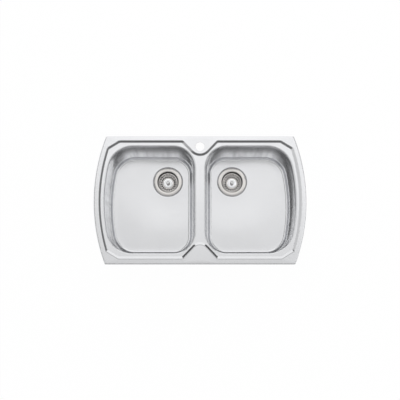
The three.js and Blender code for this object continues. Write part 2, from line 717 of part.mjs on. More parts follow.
/** The pull knob with its stem, which reaches down through the spider's hub. */
function knob() {
  const collar = BASKET_FLOOR + SEAT_GAP;
  const under = collar + KNOB_LIFT;
  const top = under + KNOB_HEIGHT;
  const neck = STEM_RADIUS + 1;
  const tip = SPIDER_TOP - 2 * SPIDER_BAR - STEM_TIP_BELOW_SPIDER;
  return turned([
    [0, tip],
    [STEM_RADIUS * 0.6, tip],
    [STEM_RADIUS, tip + STEM_RADIUS * 0.6],
    [STEM_RADIUS, collar],
    [neck + 1.5, collar],
    [neck, collar + 1.5],
    [neck, under],
    [KNOB_RADIUS, under + KNOB_HEIGHT * 0.3],
    [KNOB_RADIUS, under + KNOB_HEIGHT * 0.7],
    [KNOB_RADIUS * 0.6, top],
    [0, top],
  ], SMALL_SIDES);
}

function basketNut() {
  const top = STOPPER_BOTTOM + STOPPER_THICKNESS / 3 - SEAT_GAP;
  const low = top - BASKET_NUT_HEIGHT;
  const hexagon = ring(BASKET_NUT_RADIUS, low, top, HEXAGON_SIDES);
  const bore = ring(STEM_HOLE_RADIUS, low - CUT_MARGIN, top + CUT_MARGIN, SMALL_SIDES);
  return solidOf(hexagon).subtract(solidOf(bore));
}

// ---- Worktop clips -----------------------------------------------------------------------
// Made at the screw's axis under the ledge, with +X out to the rim.

const CLIP_TOP = -SEAT_GAP;
const CLAW_TIP = -(LEDGE_Z - SHEET) - WORKTOP_THICKNESS - CLAW_TO_WORKTOP;
const CLAW_TOP = CLAW_TIP - CLAW_HOOK + CLAW_SHEET;
const CLIP_BORE_RADIUS = CLIP_SCREW_RADIUS + SEAT_GAP;

/** A plate welded under the ledge, with ends turned down and a weld nut for the screw. */
function clipBracket() {
  const low = CLIP_TOP - BRACKET_SHEET;
  const plate = new THREE.BoxGeometry(BRACKET_WIDTH, BRACKET_LENGTH, BRACKET_SHEET);
  plate.translate(0, 0, CLIP_TOP - BRACKET_SHEET / 2);
  let bracket = solidOf(plate);
  for (const end of [LEFT, RIGHT]) {
    const cheek = new THREE.BoxGeometry(BRACKET_WIDTH, BRACKET_SHEET, BRACKET_NUT_HEIGHT);
    const y = (end * (BRACKET_LENGTH - BRACKET_SHEET)) / 2;
    cheek.translate(0, y, CLIP_TOP - BRACKET_NUT_HEIGHT / 2);
    bracket = bracket.add(solidOf(cheek));
  }
  const nutLow = low - BRACKET_NUT_HEIGHT;
  const nut = ring(BRACKET_NUT_RADIUS, nutLow, low + BRACKET_SHEET / 2, HEXAGON_SIDES);
  const bore = ring(CLIP_BORE_RADIUS, nutLow - CUT_MARGIN, low, SCREW_SIDES);
  return bracket.add(solidOf(nut)).subtract(solidOf(bore));
}

function clipScrew() {
  const top = CLIP_TOP - BRACKET_SHEET - SEAT_GAP;
  const under = CLAW_TOP - CLAW_SHEET - SEAT_GAP;
  return turned([
    [0, under - CLIP_HEAD_HEIGHT],
    [CLIP_HEAD_RADIUS, under - CLIP_HEAD_HEIGHT],
    [CLIP_HEAD_RADIUS, under],
    [CLIP_SCREW_RADIUS, under],
    [CLIP_SCREW_RADIUS, top],
    [0, top],
  ], SCREW_SIDES);
}

/** A strip bent up at its outer end, where two teeth bite the underside of the worktop. */
function clipClaw() {
  const strip = [
    [-CLAW_TAIL, CLAW_TOP - CLAW_SHEET],
    [CLAW_REACH - CLAW_SHEET / 2, CLAW_TOP - CLAW_SHEET],
    [CLAW_REACH, CLAW_TOP - CLAW_SHEET / 2],
    [CLAW_REACH, CLAW_TIP],
    [CLAW_REACH - CLAW_SHEET, CLAW_TIP],
    [CLAW_REACH - CLAW_SHEET, CLAW_TOP],
    [-CLAW_TAIL, CLAW_TOP],
  ].map(([x, z]) => new THREE.Vector2(x, z));
  const blank = prism(strip, -CLAW_WIDTH / 2, CLAW_WIDTH / 2).rotateX(Math.PI / 2);
  const tooth = [
    new THREE.Vector2(-CLAW_WIDTH / 4, CLAW_TIP + CUT_MARGIN),
    new THREE.Vector2(0, CLAW_TIP - CLAW_TOOTH),
    new THREE.Vector2(CLAW_WIDTH / 4, CLAW_TIP + CUT_MARGIN),
  ];
  const gash = prism(tooth, CLAW_REACH - 2 * CLAW_SHEET, CLAW_REACH + CLAW_SHEET);
  gash.rotateX(Math.PI / 2).rotateZ(Math.PI / 2);
  const low = CLAW_TOP - CLAW_SHEET - CUT_MARGIN;
  const bore = ring(CLIP_BORE_RADIUS, low, CLAW_TOP + CUT_MARGIN, SCREW_SIDES);
  return solidOf(blank).subtract(solidOf(gash)).subtract(solidOf(bore));
}

/** Where each clip's screw is, and which way its claw points. */
function clipPlaces() {
  const inFromEdge = (rim) => rim + STEP_RUN + CLIP_FROM_STEP;
  const backY = DECK_BACK - inFromEdge(RIM_BACK_WIDTH);
  const frontY = -DECK_BACK + inFromEdge(RIM_FRONT_WIDTH);
  const sideRadius = DECK_LENGTH / 2 - inFromEdge(RIM_SIDE_WIDTH) - BOW_CENTRE_X;
  const sideAngle = Math.asin(SHORT_SIDE_CLIP_OFFSET / sideRadius);
  const sideX = BOW_CENTRE_X + sideRadius * Math.cos(sideAngle);
  const places = [];
  for (const [word, side] of [['left', LEFT], ['right', RIGHT]]) {
    const outwards = side === RIGHT ? 0 : Math.PI;
    const x = side * LONG_SIDE_CLIP_OFFSET;
    places.push({ name: `back_${word}`, x, y: backY, turn: Math.PI / 2 });
    places.push({ name: `front_${word}`, x, y: frontY, turn: -Math.PI / 2 });
    for (const [end, sign] of [['back', 1], ['front', -1]]) {
      const y = sign * SHORT_SIDE_CLIP_OFFSET;
      const turn = outwards + side * sign * sideAngle;
      places.push({ name: `${word}_${end}`, x: side * sideX, y, turn });
    }
  }
  return places;
}

// ---- The sink ----------------------------------------------------------------------------

const sink = new THREE.Group();
sink.add(deck(), rimSeal());

for (const [word, side] of [['left', LEFT], ['right', RIGHT]]) {
  sink.add(piece(`${word}_bowl`, bowl(side), brushedSteel));
  sink.add(piece(`${word}_sound_pad`, soundPad(side), soundPadding));
  const waste = new THREE.Group();
  waste.position.set(side * DRAIN_FROM_MIDDLE, DRAIN_Y, DISH_Z);
  waste.add(
    piece(`${word}_waste_body`, wasteBody(), polishedSteel),
    piece(`${word}_flange_seal`, flangeSeal(), blackRubber),
    piece(`${word}_waste_gasket`, wasteGasket(), blackRubber),
    piece(`${word}_friction_washer`, frictionWasher(), redFibre),
    piece(`${word}_lock_nut`, lockNut(), nutPlastic),
    piece(`${word}_basket`, basket(), polishedSteel),
    piece(`${word}_basket_stopper`, stopper(), blackRubber),
    piece(`${word}_basket_knob`, knob(), polishedSteel),
    piece(`${word}_basket_nut`, basketNut(), polishedSteel),
  );
  sink.add(waste);
}

for (const { name, x, y, turn } of clipPlaces()) {
  const clip = new THREE.Group();
  clip.position.set(x, y, LEDGE_Z - SHEET);
  clip.rotation.z = turn;
  clip.add(
    piece(`${name}_clip_bracket`, clipBracket(), zincSteel),
    piece(`${name}_clip_screw`, clipScrew(), zincSteel),
    piece(`${name}_clip_claw`, clipClaw(), zincSteel),
  );
  sink.add(clip);
}

export default sink;
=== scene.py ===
"""Looks of a double bowl kitchen sink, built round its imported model.

Shapes are worked out in millimetres and become metres when a mesh is made. The frame is the
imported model's own: +X to the right, +Y to the back where the tap hole is, +Z up, with the
origin in the middle of the sink on the worktop's surface.
"""

import logging
import math
from collections.abc import Callable, Sequence
from dataclasses import dataclass, field, replace
from enum import Enum
from functools import partial

import bpy
import numpy as np
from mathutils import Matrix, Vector


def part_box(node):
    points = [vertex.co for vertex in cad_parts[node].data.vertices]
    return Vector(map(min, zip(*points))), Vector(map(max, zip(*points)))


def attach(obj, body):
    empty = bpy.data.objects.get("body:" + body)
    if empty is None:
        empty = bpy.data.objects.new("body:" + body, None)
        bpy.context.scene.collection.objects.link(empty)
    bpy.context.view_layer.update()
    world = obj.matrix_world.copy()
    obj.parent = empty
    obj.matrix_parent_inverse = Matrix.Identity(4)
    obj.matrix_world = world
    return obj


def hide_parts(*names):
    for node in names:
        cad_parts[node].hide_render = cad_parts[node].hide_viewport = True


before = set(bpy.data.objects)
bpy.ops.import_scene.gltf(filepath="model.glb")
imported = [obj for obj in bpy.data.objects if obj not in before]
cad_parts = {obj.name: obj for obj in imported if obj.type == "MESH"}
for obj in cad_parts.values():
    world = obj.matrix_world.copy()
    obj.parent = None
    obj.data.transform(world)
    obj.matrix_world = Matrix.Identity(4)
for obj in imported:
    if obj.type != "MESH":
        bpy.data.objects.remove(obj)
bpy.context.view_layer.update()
METRES = 0.001
WELD = 0.002  # points in the same cell of this lattice become one
WELD_OFFSET = 0.37  # keeps round coordinates off the lattice's borders, as a share of a cell
NEAR = 1e-6
PARALLEL = 1e-12
NARROWEST = 0.0009  # the least angle between two columns of the deck
BOWL_MIDDLE = 0.2085  # the X of the right bowl's middle, in metres
QUARTER = math.pi / 2
FULL_TURN = 2 * math.pi
UP = np.array([0.0, 0.0, 1.0])
MIRROR = np.array([-1.0, 1.0, 1.0])

Color = tuple[float, float, float]
Socket = bpy.types.NodeSocket
Material = bpy.types.Material
Piece = bpy.types.Object

log = logging.getLogger("sink")


class Side(Enum):
    """The two halves of the sink, each with the sign of its X."""

    LEFT = -1
    RIGHT = 1

    @property
    def word(self) -> str:
        """The side's word in the names of pieces."""
        return self.name.lower()


# ---- Outlines seen from above --------------------------------------------------------------


def at(*values: float) -> np.ndarray:
    """A point or a direction from its coordinates."""
    return np.array(values, float)


def unit(way: np.ndarray) -> np.ndarray:
    """A vector's direction, one long."""
    return way / np.linalg.norm(way)


def cross(first: np.ndarray, last: np.ndarray) -> np.ndarray:
    """The cross product of vectors of the plan: x1 y2 - y1 x2."""
    return first[..., 0] * last[..., 1] - first[..., 1] * last[..., 0]


def circle(angle: np.ndarray) -> np.ndarray:
    """Points of a circle of radius one: (cos a, sin a)."""
    return np.stack([np.cos(angle), np.sin(angle)], -1)


def round_angles(segments: int) -> np.ndarray:
    """Even angles round a whole turn."""
    return np.arange(segments) / segments * FULL_TURN


def angles_of(points: np.ndarray, origin: Sequence[float] = (0, 0)) -> np.ndarray:
    """The directions of points from an origin, in radians from +X."""
    gap = points - np.asarray(origin, float)
    return np.arctan2(gap[:, 1], gap[:, 0])


@dataclass(frozen=True)
class Line:
    """A straight part of an outline, with the inside on its left."""

    start: np.ndarray
    end: np.ndarray

    @property
    def along(self) -> np.ndarray:
        """The line's direction."""
        return unit(self.end - self.start)

    @property
    def inward(self) -> np.ndarray:
        """The direction to the left of the line."""
        return at(-self.along[1], self.along[0])

    def inset(self, distance: float) -> "Line":
        """The line moved inwards by a distance."""
        return Line(self.start + distance * self.inward, self.end + distance * self.inward)

    def mirrored(self, flip: np.ndarray) -> "Line":
        """The line's mirror image, still with its inside on the left."""
        return Line(self.end * flip, self.start * flip)

    def sample(self, spacing: float) -> np.ndarray:
        """Points along the line, both ends included, no further apart than the spacing."""
        steps = max(1, math.ceil(np.linalg.norm(self.end - self.start) / spacing))
        return self.start + np.linspace(0, 1, steps + 1)[:, None] * (self.end - self.start)

    def cast(self, origin: np.ndarray, rays: np.ndarray) -> tuple[np.ndarray, np.ndarray]:
        """Meets rays with the line.

        Args:
            origin: The point that all rays leave.
            rays: Unit directions, one a row.

        Returns:
            The distance along each ray, infinite where it misses, and the inward normals.
        """
        edge, gap = self.end - self.start, self.start - origin
        across = cross(rays, edge)
        across = np.where(np.abs(across) < PARALLEL, PARALLEL, across)
        distance, share = cross(gap, edge) / across, cross(gap, rays) / across
        hit = (share > -NEAR) & (share < 1 + NEAR) & (distance > 0)
        return np.where(hit, distance, np.inf), np.tile(self.inward, (len(rays), 1))


@dataclass(frozen=True)
class Arc:
    """Part of a circle in an outline; a negative sweep bulges into the outline."""

    centre: np.ndarray
    radius: float
    start: float
    sweep: float

    def mirrored(self, flip: np.ndarray) -> "Arc":
        """The arc's mirror image in X or in Y, still with its inside on the left."""
        start = math.pi - self.start - self.sweep + (0 if flip[0] < 0 else math.pi)
        return replace(self, centre=self.centre * flip, start=start)

    def points(self, steps: int) -> np.ndarray:
        """Points along the arc, both ends included."""
        return self.centre + self.radius * circle(self.start + self.sweep * np.linspace(0, 1, steps + 1))

    def sample(self, spacing: float) -> np.ndarray:
        """Points along the arc, both ends included, by the spacing or each eight degrees."""
        return self.points(max(2, math.ceil(abs(self.sweep) * max(self.radius / spacing, 7.2))))

    def cast(self, origin: np.ndarray, rays: np.ndarray) -> tuple[np.ndarray, np.ndarray]:
        """Meets rays with the arc, by the roots of |origin + t ray - centre| = radius.

        Args:
            origin: The point that all rays leave.
            rays: Unit directions, one a row.

        Returns:
            The distance along each ray, infinite where it misses, and the inward normals.
        """
        gap = origin - self.centre
        middle = rays @ gap
        under = middle**2 - (gap @ gap - self.radius**2)
        root = np.sqrt(np.maximum(under, 0))
        best = np.full(len(rays), np.inf)
        for distance in (-middle - root, -middle + root):
            turn = angles_of(origin + distance[:, None] * rays, self.centre) - self.start
            turn = np.mod(turn * np.sign(self.sweep) + NEAR, FULL_TURN) - NEAR
            hit = (under >= 0) & (distance > 0) & (turn < abs(self.sweep) + NEAR)
            best = np.where(hit & (distance < best), distance, best)
        reach = np.where(np.isfinite(best), best, 0)[:, None]
        return best, (self.centre - origin - reach * rays) / self.radius * np.sign(self.sweep)


@dataclass(frozen=True)
class Outline:
    """A closed outline of lines and arcs, counter-clockwise, with tangents that run on."""

    parts: tuple[Line | Arc, ...]

    @classmethod
    def whole(cls, right: Sequence[Line | Arc]) -> "Outline":
        """A closed outline from its right half and that half's mirror image."""
        return cls((*right, *(part.mirrored(MIRROR[:2]) for part in reversed(right))))

    def cast(self, origin: Sequence[float], angles: np.ndarray) -> tuple[np.ndarray, np.ndarray]:
        """Where rays from a point inside meet the outline.

        Args:
            origin: The point.
            angles: The rays' directions, in radians from +X.

        Returns:
            The points and the inward unit normals there, one a row.
        """
        rays, start = circle(angles), np.asarray(origin, float)
        distances, normals = map(np.stack, zip(*(part.cast(start, rays) for part in self.parts)))
        nearest = normals[distances.argmin(0), np.arange(len(rays))]
        return start + distances.min(0)[:, None] * rays, nearest


def fillet(before: Line, after: Line, radius: float) -> tuple[Line, Arc, Line]:
    """Rounds the corner that two lines meet in.

    Args:
        before: The line that ends at the corner.
        after: The line that starts there.
        radius: The radius of the rounding.

    Returns:
        The two lines cut back to the tangent points, and the arc between them.
    """
    arriving, leaving = before.along, after.along
    turn = math.atan2(cross(arriving, leaving), arriving @ leaving)
    tangent, side = radius * math.tan(abs(turn) / 2), math.copysign(1, turn)
    first = before.end - tangent * arriving
    out = -side * before.inward
    arc = Arc(first + side * radius * before.inward, radius, math.atan2(out[1], out[0]), turn)
    return Line(before.start, first), arc, Line(before.end + tangent * leaving, after.end)


def bow_fillet(line: Line, bow: Arc, radius: float) -> tuple[Line, Arc, float]:
    """Rounds the corner where a line runs into a bowed side.

    The rounding's centre is a radius inside both, so it lies on the line moved in by the radius
    and on the circle round the bow's centre whose radius is smaller by as much.

    Args:
        line: The line, which ends on the bow.
        bow: The bowed side.
        radius: The radius of the rounding.

    Returns:
        The line cut back, the arc, and the angle round the bow's centre where the bow starts.
    """
    inner = line.inset(radius)
    gap = inner.start - bow.centre
    middle = gap @ inner.along
    reach = math.sqrt(middle**2 - gap @ gap + (bow.radius - radius) ** 2) - middle
    centre = inner.start + reach * inner.along
    start = math.atan2(-line.inward[1], -line.inward[0])
    out = centre - bow.centre
    end = math.atan2(out[1], out[0])
    return Line(line.start, centre - radius * line.inward), Arc(centre, radius, start, end - start), end


@dataclass(frozen=True)
class SinkPlan:
    """The outlines of the deck, its step and the right bowl."""

    half_length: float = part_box("deck")[1].x / METRES
    half_width: float = 255.0
    bow_radius: float = 720.0
    corner_radius: float = 6.5
    rim_side: float = 20.0
    rim_back: float = 17.0
    rim_front: float = 23.0
    step_run: float = 8.0
    cut_reach: float = 79.0
    cut_angle: float = math.radians(32)
    cut_length: float = 200.0
    cut_fillet: float = 14.0
    notch_half_width: float = 67.5
    notch_angle: float = math.radians(46.5)
    back_tip_radius: float = 40.0
    front_tip_radius: float = 34.0
    ledge_side: float = 9.4
    ledge_back: float = 10.5
    ledge_front: float = 9.8
    divider: float = 33.0
    bowl_inner_radius: float = 90.0
    bowl_outer_radius: float = 105.0

    @property
    def bow_centre(self) -> np.ndarray:
        """The point that the bows of all the right-hand sides turn about."""
        return at(self.half_length - self.bow_radius, 0)

    def bowed_side(self, reach: float, back: float, front: float, corner: float) -> list[Arc]:
        """A bowed right side between two rounded corners.

        Args:
            reach: The X of the middle of the bow.
            back: The Y of the back edge.
            front: The Y of the front edge.
            corner: The radius of the corners.

        Returns:
            The front corner, the bow and the back corner.
        """
        radius = reach - self.bow_centre[0]
        ends = []
        for y in (front + corner, back - corner):
            x = self.bow_centre[0] + math.sqrt((radius - corner) ** 2 - y**2)
            ends.append((at(x, y), math.asin(y / (radius - corner))))
        (low, first), (high, last) = ends
        return [Arc(low, corner, -QUARTER, first + QUARTER),
                Arc(self.bow_centre, radius, first, last - first),
                Arc(high, corner, last, QUARTER - last)]

    def deck_right(self) -> list[Line | Arc]:
        """The right half of the deck's outline, from the middle of the front to the back."""
        y = self.half_width
        side = self.bowed_side(self.half_length, y, -y, self.corner_radius)
        return [Line(at(0, -y), at(side[0].centre[0], -y)), *side,
                Line(at(side[2].centre[0], y), at(0, y))]

    def step_right(self) -> list[Line | Arc]:
        """The right half of the step's top edge, from the front notch's tip to the back's."""
        reach = self.half_length - self.rim_side
        bow = Arc(self.bow_centre, reach - self.bow_centre[0], 0.0, 1.0)
        drop = self.notch_half_width * math.tan(self.notch_angle)

        def front_parts(rim: float, tip_radius: float) -> tuple[list[Line | Arc], float]:
            """The parts of the front half from the notch's tip to the bow.

            Args:
                rim: The width of the rim along the straight.
                tip_radius: The radius of the notch's tip.

            Returns:
                The parts, and the angle round the bow's centre where the bow starts.
            """
            y = -self.half_width + rim
            tip, mouth, cut = at(0, y + drop), at(self.notch_half_width, y), at(reach - self.cut_reach, y)
            far = cut + self.cut_length * at(math.cos(self.cut_angle), math.sin(self.cut_angle))
            _, tip_arc, slope = fillet(Line(mouth * MIRROR[:2], tip), Line(tip, mouth), tip_radius)
            half = tip_arc.sweep / 2
            slope, mouth_arc, edge = fillet(slope, Line(mouth, cut), self.cut_fillet)
            edge, cut_arc, sloped = fillet(edge, Line(cut, far), self.cut_fillet)
            sloped, end_arc, start = bow_fillet(sloped, bow, self.cut_fillet)
            return [replace(tip_arc, start=tip_arc.start + half, sweep=half), slope, mouth_arc, edge,
                    cut_arc, sloped, end_arc], start

        front, first = front_parts(self.rim_front, self.front_tip_radius)
        back, last = front_parts(self.rim_back, self.back_tip_radius)
        return [*front, replace(bow, start=first, sweep=-last - first),
                *(part.mirrored(at(1, -1)) for part in reversed(back))]

    def deck(self) -> Outline:
        """The deck's outer edge."""
        return Outline.whole(self.deck_right())

    def step(self) -> Outline:
        """The top edge of the step down to the ledge."""
        return Outline.whole(self.step_right())

    def bowl(self) -> Outline:
        """The edge where the ledge rolls over into the right bowl."""
        reach = self.half_length - self.rim_side - self.step_run - self.ledge_side
        back = self.half_width - self.rim_back - self.step_run - self.ledge_back
        front = -self.half_width + self.rim_front + self.step_run + self.ledge_front
        side = self.bowed_side(reach, back, front, self.bowl_outer_radius)
        inner, x = self.bowl_inner_radius, self.divider / 2
        return Outline((
            *side,
            Line(at(side[2].centre[0], back), at(x + inner, back)),
            Arc(at(x + inner, back - inner), inner, QUARTER, QUARTER),
            Line(at(x, back - inner), at(x, front + inner)),
            Arc(at(x + inner, front + inner), inner, math.pi, QUARTER),
            Line(at(x + inner, front), at(side[0].centre[0], front)),
        ))

    def columns(self, spacing: float) -> np.ndarray:
        """Directions from the origin to close points all along the deck and the step.

        Args:
            spacing: The most that two points may be apart.

        Returns:
            The angles, from straight to the front round the right side to the back and on.
        """
        parts = [*self.deck_right(), *self.step_right()]
        points = np.concatenate([part.sample(spacing) for part in parts])
        angles = np.unique(np.clip(angles_of(points), -QUARTER, QUARTER))
        right = angles[np.concatenate([[True], np.diff(angles) > NARROWEST])]
        right[-1] = QUARTER
        return np.concatenate([right, math.pi - right[-2:0:-1]])


# ---- Sections and surfaces -----------------------------------------------------------------


def section(bends: Sequence[tuple[float, ...]], closed: bool = False, degrees: float = 9.0) -> np.ndarray:
    """A section line whose corners are rounded.

    Args:
        bends: Corners as (x, z) or (x, z, radius). Each rounding is the arc of that radius
            that touches both of the corner's lines.
        closed: True if the last corner runs on into the first.
        degrees: The turn between two points of a rounding.

    Returns:
        Points (x, z), one a row, with no point twice in a row.
    """
    count = len(bends)
    corners = np.array([bend[:2] for bend in bends], float)
    points = []
    for index, (here, bend) in enumerate(zip(corners, bends)):
        if len(bend) < 3 or (not closed and index in (0, count - 1)):
            points.append(here[None])
            continue
        before, after = Line(corners[index - 1], here), Line(here, corners[(index + 1) % count])
        arc = fillet(before, after, bend[2])[1]
        points.append(arc.points(max(2, math.ceil(abs(math.degrees(arc.sweep)) / degrees))))
    line = np.concatenate(points)
    step = np.linalg.norm(np.diff(line, axis=0), axis=1)
    return line[np.concatenate([[True], step > 1e-4])]


def closed_section(bends: Sequence[tuple[float, ...]], degrees: float = 9.0) -> np.ndarray:
    """A closed section line, with its first point again at its end."""
    line = section(bends, closed=True, degrees=degrees)
    return np.concatenate([line, line[:1]])


def divided(line: np.ndarray, spacing: float) -> np.ndarray:
    """Adds points to a line, so that no two are further apart than the spacing."""
    parts = [Line(start, end).sample(spacing)[:-1] for start, end in zip(line[:-1], line[1:])]
    return np.concatenate([*parts, line[-1:]])


def left_of(line: np.ndarray) -> np.ndarray:
    """Unit normals to the left of a section line, from the slope at each point."""
    slope = np.gradient(line, axis=0)
    slope /= np.linalg.norm(slope, axis=1, keepdims=True)
    return np.stack([-slope[:, 1], slope[:, 0]], -1)


def running(steps: np.ndarray) -> np.ndarray:
    """The running total of some steps, from nothing."""
    return np.concatenate([[0], np.cumsum(steps)])


def swept(base: np.ndarray, inward: np.ndarray, line: np.ndarray) -> np.ndarray:
    """A section carried along an outline: base + inward * x in the plan, at the height z.

    Args:
        base: Points of the outline, (columns, 2).
        inward: Inward normals there, (columns, 2).
        line: The section's (x, z), with x inwards.

    Returns:
        A grid of points, (rows of the section, columns, 3).
    """
    plan = base[None] + inward[None] * line[:, 0][:, None, None]
    height = np.broadcast_to(line[:, 1][:, None], plan.shape[:2])
    return np.concatenate([plan, height[..., None]], -1)


def up_normals(inward: np.ndarray, line: np.ndarray, flat_rows: Sequence[int] = (0, -1)) -> np.ndarray:
    """The normals of a swept section: its own normal's x goes along inward, its z up.

    Args:
        inward: The inward normals of the outline.
        line: The section.
        flat_rows: The rows whose normals are straight up, as they join a flat.

    Returns:
        The normals, one for each point of the swept grid.
    """
    normals = swept(np.zeros_like(inward), inward, left_of(line))
    normals[list(flat_rows)] = UP
    return normals


def raised(base: np.ndarray, height: float) -> np.ndarray:
    """Points of a plan at one height."""
    return np.concatenate([base, np.full((len(base), 1), height)], -1)


def blend(first: np.ndarray, last: np.ndarray, shares: np.ndarray) -> np.ndarray:
    """Rows between two rows of points: first + share * (last - first)."""
    return first[None] + shares[:, None, None] * (last - first)[None]


def around(radii: np.ndarray, heights: np.ndarray, angles: np.ndarray) -> np.ndarray:
    """A body whose radius changes round its axis: (r cos a, r sin a, z).

    Args:
        radii: The radius, (rows, columns).
        heights: Each row's height, or each point's.
        angles: Each column's angle, or each point's.

    Returns:
        The grid of points.
    """
    heights = heights if np.ndim(heights) == 2 else np.asarray(heights, float)[:, None]
    x, y = radii * np.cos(angles), radii * np.sin(angles)
    return np.stack([x, y, np.broadcast_to(heights, x.shape)], -1)


def spun(points: np.ndarray, angle: float) -> np.ndarray:
    """Points turned about Z: (x cos a - y sin a, x sin a + y cos a, z)."""
    c, s = math.cos(angle), math.sin(angle)
    return points @ np.array([[c, s, 0], [-s, c, 0], [0, 0, 1]])


def with_ends(rows: np.ndarray) -> np.ndarray:
    """Closes the two ends of a bar: adds a row before and after that is one point each."""
    first, last = (rows[end].mean(0)[None, None].repeat(rows.shape[1], 1) for end in (0, -1))
    return np.concatenate([first, rows, last])


def linked(name: str, data: bpy.types.ID) -> Piece:
    """A new object of the scene, at the origin."""
    piece = bpy.data.objects.new(name, data)
    bpy.context.scene.collection.objects.link(piece)
    return piece


